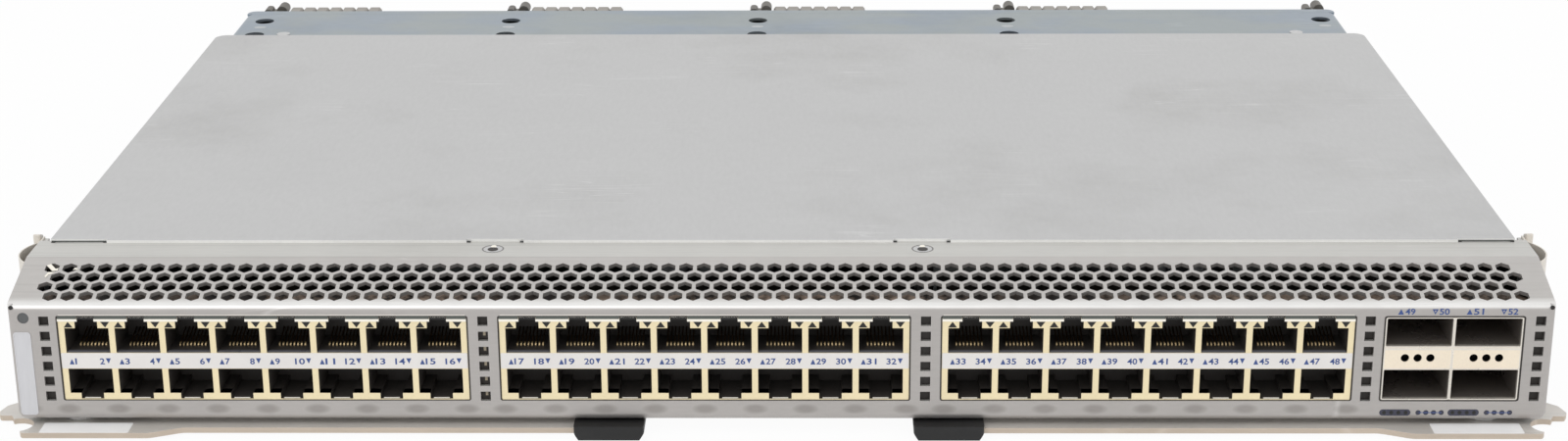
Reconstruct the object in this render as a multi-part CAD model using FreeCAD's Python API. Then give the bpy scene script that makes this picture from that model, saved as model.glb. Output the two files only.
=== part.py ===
import FreeCAD, Part
import os
from math import atan2, cos, pi, sin, tan

from FreeCAD import Vector

# Switch line card: a sheet-metal card cage with a perforated sloping front, three blocks of
# stacked network jacks, one block of stacked uplink cages, a board with its connectors, and
# two ejector levers under the front edge.
#
# Working frame: X to the right, Y from the front plate to the rear, Z up. The front plate's
# outer plane is Y = 0 and the card's underside is Z = 0. save() moves every piece by the same
# vector, so that the finished card stands on Z = 0 with its box centred on the origin.

# ---------------------------------------------------------------- sheet gauges and clearances
BEZEL_T = 1.2            # front plate, hood and side returns
TRAY_T = 1.2             # bottom tray
COVER_T = 0.8            # top cover
BRACKET_T = 1.0          # zinc-plated rear bracket
SHIELD_T = 0.3           # metal skin round the jack blocks
CAGE_T = 0.4             # uplink cage walls
SPRING_T = 0.4           # side finger strips
BEND_R = 0.8             # inside radius of every fold
SEAM = 0.3               # open seam between two sheets that butt
LAP_GAP = 0.1            # gap between two sheets that lap
PORT_GAP = 0.15          # connector block inside its cut-out
HOLE_GAP = 0.05          # fastener inside its hole
RUN_GAP = 0.05           # radial running clearance of a lever on its stud
END_PLAY = 0.1           # axial clearance above and below a lever

# ---------------------------------------------------------------- connector blocks
JACK_BLOCKS = 3
JACK_COLUMNS = 8         # each block is two rows high
JACK_PITCH = 13.97
JACK_WALL = 1.7          # wall between two jack openings
JACK_OPEN_H = 7.35       # full-width part of an opening
JACK_LATCH_W = 6.3
JACK_SILL = 2.0          # below the lower openings
JACK_LINTEL = 3.25       # above the upper openings
JACK_LIP = 0.6           # left of the lintel above the latch slot
JACK_FOOT = 0.3          # left of the sill below the latch slot
JACK_D = 33.0
JACK_POCKET_D = 13.0
CONTACT_W = 8.6
CONTACT_T = 0.5
CONTACT_D = 8.0
PORT_H = 24.75           # height of every stacked block
UPLINK_COLUMNS = 2
UPLINK_OPEN_W = 18.2
UPLINK_UPPER_H = 8.2
UPLINK_LOWER_H = 8.7
UPLINK_MID_WALL = 0.7    # double wall between the two columns
UPLINK_D = 50.0
UPLINK_POCKET_D = 38.0
DIVIDER_D = 6.0
DIVIDER_HOLE_R = 1.15
DIVIDER_HOLE_PITCH = 3.5
CARD_SLOT_H = 1.4        # slot for the edge of a plugged module's board

# ---------------------------------------------------------------- front plate layout
PORT_SETBACK = 0.15      # connector faces behind the plate's outer plane
LEFT_MARGIN = 13.75      # plate edge to the first jack cut-out
BLOCK_GAP = 8.72         # between two jack cut-outs
UPLINK_GAP = 8.06        # last jack cut-out to the uplink cut-out
RIGHT_MARGIN = 8.5       # uplink cut-out to the plate edge
TOP_MARGIN = 2.9         # cut-out to the fold of the hood
SLOPE_RUN = 22.35
SLOPE_RISE = 6.54
FLANGE_D = 11.5          # flat part of the hood in front of the cover
FLANGE_LAP = 8.0         # flat part that runs on under the cover
FLANGE_EAR = 2.0         # how far the flat part's outer ends run past the cover's edge
RETURN_D = 41.0          # side returns
TAB_JOG = 4.0            # length of the fold that brings a side tab onto the tray
TAB_D = 10.0
TAB_EDGE = 6.0           # side tab to the underside, and to the deck
BOTTOM_LIP_D = 20.0      # ends behind the levers' hubs
CORNER_RELIEF = 1.6
FOOT_CHAMFER = 2.4       # lower corners of the plate
HEX_AF = 3.9             # across the flats of a vent hole
HEX_PITCH = 4.97
HEX_ROWS = 4
HEX_FIRST = 5.1          # fold to the first row, along the slope
HEX_MARGIN = 4.2         # vent holes to the plate's ends
VENT_SIDE = 2.8          # square vents beside the connector blocks
VENT_PITCH = 4.5
VENT_ROWS = 6
VENT_LEFT = 10.06        # plate's left edge to its column of vents
VENT_RIGHT = 4.1         # plate's right edge to its column of vents
STATUS_R = 1.6
STATUS_X = 4.46          # from the plate's left edge
STATUS_DROP = 3.25       # below the fold
LAMP_Z = 2.47            # row of uplink lamps
LAMP_R = 1.0
LAMP_SLOT_L = 8.7        # end to end
LAMP_DOT_R = 0.75
LAMP_DOT_PITCH = 2.14
LAMP_DOT_GAP = 2.1       # long lamp to the first round lamp
LAMP_PAIR_PITCH = 18.95
LAMP_DOTS = 4

# ---------------------------------------------------------------- tray, cover, rear bracket
SIDE_STEP = 3.45         # cover inside the plate's edge, each side
COVER_D = 220.3
COVER_SKIRT = 10.0
COVER_CORNER_R = 4.0
COVER_NOTCH_W = 16.4
COVER_NOTCH_D = 1.0
SKIRT_REAR_GAP = 6.0
TRAY_LIP_Y = 7.0         # front edge of the tray's joggled lip
REAR_STEP = 4.25         # rear bracket inside the cover's edge, each side
REAR_D = 34.0            # bracket behind the cover
REAR_LAP = 8.0           # bracket under the cover
REAR_CORNER_R = 3.0
REAR_HOLE_R = 3.5
REAR_HOLE_Y1 = 3.4       # behind the cover's edge
REAR_HOLE_Y2 = 22.3
REAR_RIVET_IN = 19.4     # rivets from the bracket's side edge
FOOT_W = 8.0             # bracket's feet, on the tray

# ---------------------------------------------------------------- board and what stands on it
BOARD_T = 2.4
STANDOFF_H = 2.6
BOARD_FRONT = 2.0        # board behind the plate's outer plane
BOARD_REAR = 4.0         # board in front of the bracket's rear edge
BOARD_SIDE = 1.35        # board inside the bracket's walls
EAR_D = 9.0              # front strip of the board that reaches the status lamp
STANDOFF_R = 3.0
SCREW_R = 1.5
SCREW_HEAD_R = 2.75
SCREW_HEAD_H = 1.6
CHIP_T = 2.5
CHIP_SIDE = 23.0
PHY_GAP = 12.0           # jack block to its heat sink
PHY_SINK_W = 60.0
PHY_SINK_D = 45.0
SINK_BASE = 4.0
SINK_FIN_T = 1.6
SINK_H = 26.0
PHY_FINS = 6
SWITCH_GAP = 20.0        # between the two ranks of heat sinks
SWITCH_SIDE = 45.0
SWITCH_SINK_W = 90.0
SWITCH_SINK_D = 75.0
SWITCH_FINS = 8
BRICK_W = 58.0
BRICK_D = 37.0
BRICK_H = 12.0
BRICK_X = 120.0          # from the middle of the card
POST_AF = 5.5            # posts that carry the hood
POST_Y = 28.7
CONE_R = 2.7             # countersunk hood screws
CONE_H = 1.1
RIVET_R = 1.6
RIVET_HEAD_R = 2.4
RIVET_HEAD_H = 0.8

# ---------------------------------------------------------------- rear connectors
GROUPS = 4
GROUP_PITCH = 92.85
FIRST_GUIDE = 8.65       # first guide block from the bracket's left edge
LAST_GUIDE = 6.95        # last guide block from the bracket's right edge
GUIDE_W = 9.6
GUIDE_H = 31.6
GUIDE_BORE_R = 3.0
GUIDE_BORE_D = 24.0
GUIDE_LEAD_IN = 0.6      # chamfer at the bore's mouth
GUIDE_NOSE_R = 1.0
GUIDE_D = 40.0
GUIDE_PROUD = 14.0       # past the bracket's rear edge
BOSS_R = 1.9             # domed boss on a guide block
BOSS_EDGE = 0.3          # bosses inside the block's sides
FLAT_R = 1.4             # flat boss beside it
FLAT_H = 0.8
FABRIC_W = 33.0
FABRIC_H = 31.3
FABRIC_D = 37.5
FABRIC_PROUD = 11.3
FABRIC_OFFSET = 1.6      # guide block to the connector beside it
FABRIC_SLOTS = 8
FABRIC_RIB = 1.0
SLOT_W = 1.4
SLOT_D = 6.0
TAIL_W = 10.0
TAIL_H = 24.0
POWER_W = 22.0
POWER_H = 20.0
POWER_BLADES = 4

# ---------------------------------------------------------------- levers
LEVER_T = 1.6
LEVER_DROP = 1.5         # lever's top below the card's underside
LEVER_W = 12.0           # narrow arm
LEVER_PROUD = 5.5        # outer part ahead of the plate
ARM_PROUD = 1.8          # narrow arm ahead of the plate
JOGGLE_IN = 38.0         # plate edge to the outer end of the joggle
JOGGLE_L = 8.5
PIVOT_IN = 16.0          # plate edge to the pivot
PIVOT_Y = 9.0
HUB_R = 11.5
CLAW_PROUD = 8.2         # claw beyond the plate's edge
CLAW_BACK = 2.6          # claw's root in front of the pivot
CLAW_TIP = 2.4           # claw's slanted tip
CLAW_HEEL = 3.0          # behind the tip
NOTCH_R = 4.5
LEVER_BEND_R = 6.0
LEVER_TIP_R = 1.0
NOTCH_OUT = 0.35         # notch centre beyond the plate's edge
STUD_R = 4.0
STUD_NECK_R = 2.5
STUD_COLLAR_R = 6.0
STUD_HEAD_R = 6.5
STUD_HEAD_T = 0.9
GRIP_IN = 37.6           # inner end from the middle of the card
GRIP_L = 19.6
GRIP_WALL = 1.2          # plastic above and below the lever
GRIP_LIP = 2.2           # plastic in front of and behind the arm
GRIP_END = 2.6
GRIP_GAP = 0.05
GRIP_CHAMFER = 1.3

# ---------------------------------------------------------------- side finger strips
FINGERS = 4
FINGER_GAP = 1.2
FINGER_SPINE = 5.0
FINGER_BOW = 3.2
FINGER_FRONT = 20.0      # front end, from the plate's plane
FINGER_Z0 = 7.0
FINGER_DROP = 0.6        # top end below the deck

# ---------------------------------------------------------------- derived sizes
BOARD_Z = TRAY_T + STANDOFF_H
BOARD_TOP = BOARD_Z + BOARD_T
JACK_W = JACK_COLUMNS * JACK_PITCH + JACK_WALL
UPLINK_W = UPLINK_COLUMNS * UPLINK_OPEN_W + UPLINK_MID_WALL + 2 * CAGE_T
JACK_CUT_W = JACK_W + 2 * PORT_GAP
UPLINK_CUT_W = UPLINK_W + 2 * PORT_GAP
CUT_Z0 = BOARD_TOP - PORT_GAP
CUT_Z1 = BOARD_TOP + PORT_H + PORT_GAP
FACE_H = CUT_Z1 + TOP_MARGIN
FACE_W = (LEFT_MARGIN + JACK_BLOCKS * JACK_CUT_W + (JACK_BLOCKS - 1) * BLOCK_GAP
          + UPLINK_GAP + UPLINK_CUT_W + RIGHT_MARGIN)
HALF_W = FACE_W / 2
DECK_Z = FACE_H + SLOPE_RISE
SLOPE_A = atan2(SLOPE_RISE, SLOPE_RUN)
COVER_Y0 = SLOPE_RUN + FLANGE_D
COVER_Y1 = COVER_Y0 + COVER_D
COVER_HALF = HALF_W - SIDE_STEP
TRAY_HALF = COVER_HALF - COVER_T - LAP_GAP
REAR_Y = COVER_Y1 + REAR_D
REAR_HALF = COVER_HALF - REAR_STEP
REAR_Y0 = COVER_Y1 - REAR_LAP
BOARD_HALF = REAR_HALF - BRACKET_T - BOARD_SIDE
BOARD_Y1 = REAR_Y - BOARD_REAR
PIVOT_X = HALF_W - PIVOT_IN
LEVER_Z1 = -LEVER_DROP
LEVER_Z0 = LEVER_Z1 - LEVER_T
GRIP_Z0 = LEVER_Z0 - GRIP_GAP - GRIP_WALL
GRIP_Z1 = LEVER_Z1 + GRIP_GAP + GRIP_WALL
PIVOT_TOP = TRAY_T + BEZEL_T
GUIDE_Y1 = REAR_Y + GUIDE_PROUD
JACK_MID = PORT_H - JACK_SILL - JACK_LINTEL - 2 * JACK_OPEN_H
UP = Vector(0, 0, 1)
REARWARD = Vector(0, 1, 0)
SHIFT = Vector(0, (LEVER_PROUD - GUIDE_Y1) / 2, -GRIP_Z0)

os.makedirs("parts", exist_ok=True)


# ---------------------------------------------------------------- helpers
def box(x0, x1, y0, y1, z0, z1):
    return Part.makeBox(x1 - x0, y1 - y0, z1 - z0, Vector(x0, y0, z0))


def cylinder(radius, height, base, axis):
    return Part.makeCylinder(radius, height, base, axis)


def prism(points, direction):
    """Extrude the closed polygon through points by direction."""
    wire = Part.makePolygon(list(points) + [points[0]])
    return Part.Face(wire).extrude(direction)


def prism_x(yz, x0, x1):
    return prism([Vector(x0, y, z) for y, z in yz], Vector(x1 - x0, 0, 0))


def prism_y(xz, y0, y1):
    return prism([Vector(x, y0, z) for x, z in xz], Vector(0, y1 - y0, 0))


def prism_z(xy, z0, z1):
    return prism([Vector(x, y, z0) for x, y in xy], Vector(0, 0, z1 - z0))


def fillet_where(shape, radius, wanted):
    """Round the straight edges for which wanted(middle, direction) holds."""
    edges = []
    for edge in shape.Edges:
        if len(edge.Vertexes) != 2:
            continue
        a, b = edge.Vertexes[0].Point, edge.Vertexes[1].Point
        if wanted((a + b) * 0.5, (b - a).normalize()):
            edges.append(edge)
    return shape.makeFillet(radius, edges)


def round_corners(shape, radius, corners):
    """Round the upright edges that stand at the given plan corners."""
    return fillet_where(shape, radius, lambda m, w: abs(w.z) > 0.9
                        and any(near(m.x, x) and near(m.y, y) for x, y in corners))


def mirrored(shape):
    return shape.mirror(Vector(0, 0, 0), Vector(1, 0, 0))


def near(a, b):
    return abs(a - b) < 0.01


def save(name, shape):
    placed = shape.copy()
    placed.translate(SHIFT)
    placed.exportStep("parts/" + name + ".step")


# ---------------------------------------------------------------- where things stand
def jack_left(block):
    """Left edge of a jack block."""
    return -HALF_W + LEFT_MARGIN + PORT_GAP + block * (JACK_CUT_W + BLOCK_GAP)


def uplink_left():
    return HALF_W - RIGHT_MARGIN - PORT_GAP - UPLINK_W


def gap_columns():
    """X of the middle of each gap between neighbouring cut-outs."""
    middles = []
    for block in range(1, JACK_BLOCKS):
        middles.append(jack_left(block) - PORT_GAP - BLOCK_GAP / 2)
    middles.append(uplink_left() - PORT_GAP - UPLINK_GAP / 2)
    return middles


def guide_x():
    """X of the middle of each guide block."""
    left = -REAR_HALF + FIRST_GUIDE
    return [left + n * GROUP_PITCH for n in range(GROUPS)] + [REAR_HALF - LAST_GUIDE]


def mouth_top():
    """Lower edge of the rear bracket's end lip, just above the connectors."""
    return BOARD_TOP + max(GUIDE_H, FABRIC_H) + SEAM


def standoff_places():
    """Board fixing points, clear of the connectors and heat sinks."""
    sides = BOARD_HALF - 2 * STANDOFF_R
    rows = (UPLINK_D + 2 * STANDOFF_R, REAR_Y0 - 4 * STANDOFF_R)
    return [(x, y) for x in (-sides, *gap_columns()[:2], sides) for y in rows]


# ---------------------------------------------------------------- front bezel
def hood_profile(inset, y_end):
    """Side view of the folded front, as its outer line moved inwards by inset."""
    fold_z = FACE_H + inset * tan(SLOPE_A) - inset / cos(SLOPE_A)
    crest_y = SLOPE_RUN + inset * (1 / cos(SLOPE_A) - 1) / tan(SLOPE_A)
    return [(inset, inset), (inset, fold_z), (crest_y, DECK_Z - inset),
            (y_end, DECK_Z - inset), (y_end, inset)]


def hood_block(inset, radius, y_end):
    """Solid inside the outer line moved by inset, with its front folds rounded."""
    half = HALF_W - inset
    block = prism_x(hood_profile(inset, y_end), -half, half)
    front = inset

    def is_fold(middle, way):
        across = abs(way.x) > 0.9 and middle.y < front + 0.01
        upright = abs(way.z) > 0.9 and near(middle.y, front)
        return across or upright

    return fillet_where(block, radius, is_fold)


def hex_hole(x, along):
    """Vent hole square to the slope, its points towards front and rear."""
    radius = HEX_AF / 2 / cos(pi / 6)
    up = Vector(0, -sin(SLOPE_A), cos(SLOPE_A))
    ahead = Vector(0, cos(SLOPE_A), sin(SLOPE_A))
    centre = Vector(x, 0, FACE_H) + ahead * along - up * (2 * BEZEL_T)
    corners = []
    for n in range(6):
        angle = n * pi / 3
        corners.append(centre + Vector(sin(angle) * radius, 0, 0) + ahead * (cos(angle) * radius))
    return prism(corners, up * (3 * BEZEL_T))


def hex_field():
    room = FACE_W - 2 * HEX_MARGIN - HEX_AF - HEX_PITCH / 2
    count = int(room / HEX_PITCH) + 1
    holes = []
    for row in range(HEX_ROWS):
        shift = HEX_PITCH / 4 * (1 if row % 2 == 0 else -1)
        along = HEX_FIRST + row * HEX_PITCH * cos(pi / 6)
        for n in range(count):
            holes.append(hex_hole((n - (count - 1) / 2) * HEX_PITCH + shift, along))
    return holes


def vent_field():
    columns = [-HALF_W + VENT_LEFT] + gap_columns() + [HALF_W - VENT_RIGHT]
    middle = (CUT_Z0 + CUT_Z1) / 2
    vents = []
    for x in columns:
        for row in range(VENT_ROWS):
            z = middle + (row - (VENT_ROWS - 1) / 2) * VENT_PITCH
            vents.append(box(x - VENT_SIDE / 2, x + VENT_SIDE / 2, -1, 2 * BEZEL_T,
                             z - VENT_SIDE / 2, z + VENT_SIDE / 2))
    return vents


def lamp_bars(inset, y0, y1):
    """Round-ended bars and round pins of the uplink lamp row, thinner by inset."""
    radius, dot = LAMP_R - inset, LAMP_DOT_R - inset
    shapes = []
    for column in range(UPLINK_COLUMNS):
        x0 = uplink_left() + LAMP_R + column * LAMP_PAIR_PITCH
        x1 = x0 + LAMP_SLOT_L - 2 * LAMP_R
        bar = box(x0, x1, y0, y1, LAMP_Z - radius, LAMP_Z + radius)
        for x in (x0, x1):
            bar = bar.fuse(cylinder(radius, y1 - y0, Vector(x, y0, LAMP_Z), REARWARD))
        shapes.append(bar.removeSplitter())
        for n in range(LAMP_DOTS):
            x = x1 + LAMP_R + LAMP_DOT_GAP + n * LAMP_DOT_PITCH
            shapes.append(cylinder(dot, y1 - y0, Vector(x, y0, LAMP_Z), REARWARD))
    return shapes


def side_tab():
    """Joggled tab of the right side return, lying on the tray's wall."""
    outer, inner = HALF_W, HALF_W - BEZEL_T
    seat = TRAY_HALF + LAP_GAP
    y1 = RETURN_D + TAB_JOG
    plan = [(outer, RETURN_D), (seat + BEZEL_T, y1), (seat + BEZEL_T, y1 + TAB_D),
            (seat, y1 + TAB_D), (seat, y1), (inner, RETURN_D)]
    return prism_z(plan, TAB_EDGE, DECK_Z - TAB_EDGE)


def front_bezel():
    shell = hood_block(0, BEND_R + BEZEL_T, RETURN_D)
    shell = shell.cut(hood_block(BEZEL_T, BEND_R, RETURN_D + 1))
    # the bottom fold is a narrow lip, and the deck ends just behind the cover's front edge
    shell = shell.cut(box(-HALF_W + BEZEL_T, HALF_W - BEZEL_T, BOTTOM_LIP_D, RETURN_D + 1,
                          -1, 2 * BEZEL_T))
    ear_y = COVER_Y0 + FLANGE_EAR
    flange_half = TRAY_HALF - TRAY_T - SEAM
    shell = shell.cut(box(-HALF_W - 1, HALF_W + 1, ear_y, RETURN_D + 1,
                          DECK_Z - BEZEL_T, DECK_Z + 1))
    shell = shell.fuse(box(-flange_half, flange_half, ear_y, COVER_Y0 + FLANGE_LAP,
                           DECK_Z - BEZEL_T, DECK_Z))
    tab = side_tab()
    shell = shell.fuse([tab, mirrored(tab)]).removeSplitter()
    tools = hex_field() + vent_field() + lamp_bars(0, -1, BEZEL_T + 1)
    for block in range(JACK_BLOCKS):
        x0 = jack_left(block) - PORT_GAP
        tools.append(box(x0, x0 + JACK_CUT_W, -1, 3 * BEZEL_T, CUT_Z0, CUT_Z1))
    x0 = uplink_left() - PORT_GAP
    tools.append(box(x0, x0 + UPLINK_CUT_W, -1, 3 * BEZEL_T, CUT_Z0, CUT_Z1))
    tools.append(cylinder(STATUS_R, 3 * BEZEL_T, status_centre(-1), REARWARD))
    for x in gap_columns()[:2]:
        tools.append(cone_seat(x, HOLE_GAP))
    for side in (-1, 1):
        tools.append(cylinder(STUD_NECK_R + HOLE_GAP, 3 * BEZEL_T,
                              Vector(side * PIVOT_X, PIVOT_Y, -BEZEL_T), UP))
        tools.append(corner_relief(side))
        tools.append(foot_corner(side))
        tools += [rivet_hole(side, z) for z in tab_rivet_heights()]
    return shell.cut(tools)


def corner_relief(side):
    """Small clearance hole where the hood, the plate and a side return meet."""
    edge = side * HALF_W
    inner = side * (HALF_W - CORNER_RELIEF)
    return box(min(edge + side, inner), max(edge + side, inner), -1, CORNER_RELIEF,
               FACE_H - CORNER_RELIEF / 2, FACE_H + CORNER_RELIEF)


def foot_corner(side):
    """Wedge off a lower corner of the plate, with the ends of the bottom lip."""
    edge = side * (HALF_W + 1)
    inner = side * (HALF_W - FOOT_CHAMFER)
    wedge = prism_y([(inner - side, -1), (edge, -1), (edge, FOOT_CHAMFER + 1)], -1, BOTTOM_LIP_D + 1)
    slot_in = side * (HALF_W - 3 * FOOT_CHAMFER)
    slot = box(min(slot_in, edge), max(slot_in, edge), BEZEL_T + BEND_R, BOTTOM_LIP_D + 1,
               -1, BEZEL_T + BEND_R)
    return wedge.fuse(slot)


def status_centre(y):
    return Vector(-HALF_W + STATUS_X, y, FACE_H - STATUS_DROP)


# ---------------------------------------------------------------- tray, cover, rear bracket
def u_channel(half, wall, height, y0, y1):
    """Channel open at the top, with rounded folds along its two lower edges."""
    outer = box(-half, half, y0, y1, 0, height)
    outer = fillet_where(outer, BEND_R + wall,
                         lambda m, w: abs(w.y) > 0.9 and near(m.z, 0))
    inner = box(-half + wall, half - wall, y0 - 1, y1 + 1, wall, height + 1)
    inner = fillet_where(inner, BEND_R,
                         lambda m, w: abs(w.y) > 0.9 and near(m.z, wall))
    return outer.cut(inner)


def base_tray():
    wall_y = BOTTOM_LIP_D + TRAY_T + SEAM
    tray = u_channel(TRAY_HALF, TRAY_T, DECK_Z, wall_y, COVER_Y1)
    # joggled front lip, lying on the bezel's bottom lip
    t = TRAY_T
    top = BEZEL_T + t
    lip = prism_x([(TRAY_LIP_Y, BEZEL_T), (TRAY_LIP_Y, top), (wall_y + t, top), (wall_y + 2 * t, t),
                   (wall_y + 2 * t, 0), (wall_y, 0), (wall_y, t / 2), (wall_y - t / 2, BEZEL_T)],
                  -BOARD_HALF, BOARD_HALF)
    tongue = box(-REAR_HALF, REAR_HALF, COVER_Y1 - 1, REAR_Y - BRACKET_T, 0, t)
    tray = tray.fuse([lip, tongue]).removeSplitter()
    # the walls stay under the hood's slope and flat as far back as the hood reaches
    step_y = COVER_Y0 + FLANGE_LAP + SEAM
    under = hood_profile(BEZEL_T + SEAM, step_y)[1:4]
    above = [(step_y, DECK_Z + 1), (under[0][0], DECK_Z + 1)]
    tools = [prism_x(under + above, -TRAY_HALF - 1, TRAY_HALF + 1)]
    for side in (-1, 1):
        tools.append(cylinder(STUD_NECK_R + HOLE_GAP, 3 * t,
                              Vector(side * PIVOT_X, PIVOT_Y, 0), UP))
        tools += [rivet_hole(side, z) for z in tab_rivet_heights()]
        tools += [cover_screw_hole(side, y) for y in cover_screw_rows()]
    return tray.cut(tools)


def top_cover():
    z1 = DECK_Z + COVER_T
    plate = box(-COVER_HALF, COVER_HALF, COVER_Y0, COVER_Y1, DECK_Z, z1)
    plate = fillet_where(plate, COVER_CORNER_R,
                         lambda m, w: abs(w.z) > 0.9 and near(m.y, COVER_Y1))
    skirt_y0 = RETURN_D + TAB_JOG + TAB_D + SEAM
    skirt_y1 = COVER_Y1 - SKIRT_REAR_GAP
    skirt = box(COVER_HALF - COVER_T, COVER_HALF, skirt_y0, skirt_y1, DECK_Z - COVER_SKIRT, DECK_Z)
    cover = plate.fuse([skirt, mirrored(skirt)]).removeSplitter()
    notches = [(-COVER_HALF - 1, -COVER_HALF + COVER_NOTCH_W), (COVER_HALF - COVER_NOTCH_W, COVER_HALF + 1)]
    for x in gap_columns()[:2]:
        notches.append((x - COVER_NOTCH_W / 2, x + COVER_NOTCH_W / 2))
    tools = [box(x0, x1, COVER_Y0 - 1, COVER_Y0 + COVER_NOTCH_D, DECK_Z - 1, z1 + 1)
             for x0, x1 in notches]
    for side in (-1, 1):
        tools += [cover_screw_hole(side, y) for y in cover_screw_rows()]
    return cover.cut(tools)


def rear_bracket():
    t = BRACKET_T
    z1 = DECK_Z
    outer = box(-REAR_HALF, REAR_HALF, REAR_Y0, REAR_Y, TRAY_T, z1)
    outer = fillet_where(outer, REAR_CORNER_R, lambda m, w: abs(w.z) > 0.9 and near(m.y, REAR_Y))
    outer = fillet_where(outer, BEND_R + t, lambda m, w: abs(w.y) > 0.9 and near(m.z, z1))
    inner = box(-REAR_HALF + t, REAR_HALF - t, REAR_Y0 - 1, REAR_Y - t, 0, z1 - t)
    inner = fillet_where(inner, BEND_R, lambda m, w: abs(w.y) > 0.9 and near(m.z, z1 - t))
    # open below the end lip, so that the connectors pass out between the walls
    mouth = box(-REAR_HALF - 1, REAR_HALF + 1, REAR_Y - REAR_CORNER_R, REAR_Y + 1, 0, mouth_top())
    bracket = outer.cut([inner, mouth])
    foot = box(REAR_HALF - t - FOOT_W, REAR_HALF - t, REAR_Y0, COVER_Y1 + FOOT_W, TRAY_T, TRAY_T + t)
    bracket = bracket.fuse([foot, mirrored(foot)]).removeSplitter()
    near_y, far_y = COVER_Y1 + REAR_HOLE_Y1, COVER_Y1 + REAR_HOLE_Y2
    holes = [(x, far_y, REAR_HOLE_R) for x in guide_x()]
    holes += [(x, near_y, REAR_HOLE_R) for x in guide_x()[:GROUPS]]
    holes += [(side * (REAR_HALF - REAR_RIVET_IN), near_y, RIVET_R + HOLE_GAP) for side in (-1, 1)]
    tools = [cylinder(radius, 3 * t, Vector(x, y, z1 - 2 * t), UP) for x, y, radius in holes]
    return bracket.cut(tools)


# ---------------------------------------------------------------- fasteners
def tab_rivet_heights():
    middle = DECK_Z / 2
    reach = middle - 2 * TAB_EDGE
    return (middle - reach, middle + reach)


def tab_rivet_y():
    return RETURN_D + TAB_JOG + TAB_D / 2


def rivet_hole(side, z):
    return cylinder(RIVET_R + HOLE_GAP, 4 * SIDE_STEP,
                    Vector(side * (HALF_W + SIDE_STEP), tab_rivet_y(), z), Vector(-side, 0, 0))


def tab_rivet(side, z):
    """Rivet through a side tab and the tray's wall, flush inside."""
    out = TRAY_HALF + LAP_GAP + BEZEL_T
    way = Vector(-side, 0, 0)
    grip = LAP_GAP + BEZEL_T + TRAY_T
    head = cylinder(RIVET_HEAD_R, RIVET_HEAD_H, Vector(side * (out + RIVET_HEAD_H), tab_rivet_y(), z), way)
    return head.fuse(cylinder(RIVET_R, grip, Vector(side * out, tab_rivet_y(), z), way))


def cover_screw_rows():
    first = RETURN_D + TAB_JOG + TAB_D + 3 * COVER_SKIRT
    last = COVER_Y1 - SKIRT_REAR_GAP - COVER_SKIRT
    return (first, (first + last) / 2, last)


def cover_screw_z():
    return DECK_Z - COVER_SKIRT / 2


def cover_screw_hole(side, y):
    return cylinder(SCREW_R + HOLE_GAP, 4 * SIDE_STEP,
                    Vector(side * (HALF_W + SIDE_STEP), y, cover_screw_z()), Vector(-side, 0, 0))


def cover_screw(side, y):
    way = Vector(-side, 0, 0)
    head_t = COVER_T
    head = cylinder(SCREW_HEAD_R, head_t, Vector(side * (COVER_HALF + head_t), y, cover_screw_z()), way)
    shank = cylinder(SCREW_R, COVER_T + LAP_GAP + TRAY_T + 2 * SCREW_R,
                     Vector(side * COVER_HALF, y, cover_screw_z()), way)
    return head.fuse(shank)


def bracket_rivet(side):
    """Rivet in the bracket's top plate, beside the cover's rear edge."""
    x = side * (REAR_HALF - REAR_RIVET_IN)
    y = COVER_Y1 + REAR_HOLE_Y1
    head = cylinder(RIVET_HEAD_R, RIVET_HEAD_H / 2, Vector(x, y, DECK_Z), UP)
    return head.fuse(cylinder(RIVET_R, BRACKET_T, Vector(x, y, DECK_Z - BRACKET_T), UP))


def cone_seat(x, gap):
    """Countersunk hole or screw head in the flat part of the hood."""
    cone = Part.makeCone(SCREW_R + gap, CONE_R + gap, CONE_H, Vector(x, POST_Y, DECK_Z - CONE_H))
    below = cylinder(SCREW_R + gap, BEZEL_T, Vector(x, POST_Y, DECK_Z - BEZEL_T), UP)
    return cone.fuse(below)


def hood_post(x):
    """Hexagonal post from the board to the hood, tapped for the hood screw."""
    radius = POST_AF / 2 / cos(pi / 6)
    corners = [(x + radius * cos(n * pi / 3), POST_Y + radius * sin(n * pi / 3)) for n in range(6)]
    post = prism_z(corners, BOARD_TOP, DECK_Z - BEZEL_T)
    depth = 4 * SCREW_R
    return post.cut(cylinder(SCREW_R, depth, Vector(x, POST_Y, DECK_Z - BEZEL_T - depth), UP))


def hood_screw(x):
    depth = 3 * SCREW_R
    shank = cylinder(SCREW_R, depth, Vector(x, POST_Y, DECK_Z - BEZEL_T - depth), UP)
    return cone_seat(x, 0).fuse(shank).removeSplitter()


def standoff(x, y):
    return cylinder(STANDOFF_R, STANDOFF_H, Vector(x, y, TRAY_T), UP)


def board_screw(x, y):
    return cylinder(SCREW_HEAD_R, SCREW_HEAD_H, Vector(x, y, BOARD_TOP), UP)


# ---------------------------------------------------------------- board and its parts
def main_board():
    board = box(-BOARD_HALF, BOARD_HALF, BOARD_FRONT, BOARD_Y1, BOARD_Z, BOARD_TOP)
    ear_x = -HALF_W + BEZEL_T + SEAM
    ear = box(ear_x, -BOARD_HALF + 1, BOARD_FRONT, BOARD_FRONT + EAR_D, BOARD_Z, BOARD_TOP)
    return board.fuse(ear).removeSplitter()


def heat_sink(x, y0, width, depth, fins):
    """Extruded sink: base and upright fins running from front to rear."""
    z0 = BOARD_TOP + CHIP_T
    z1 = z0 + SINK_BASE
    z2 = z0 + SINK_H
    left = x - width / 2
    pitch = (width - SINK_FIN_T) / (fins - 1)
    outline = [(left + width, z0), (left, z0)]
    for n in range(fins):
        fin = left + n * pitch
        outline += [(fin, z1), (fin, z2), (fin + SINK_FIN_T, z2), (fin + SINK_FIN_T, z1)]
    outline = [p for n, p in enumerate(outline) if n not in (2, len(outline) - 1)]
    return prism_y(outline, y0, y0 + depth)


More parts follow.
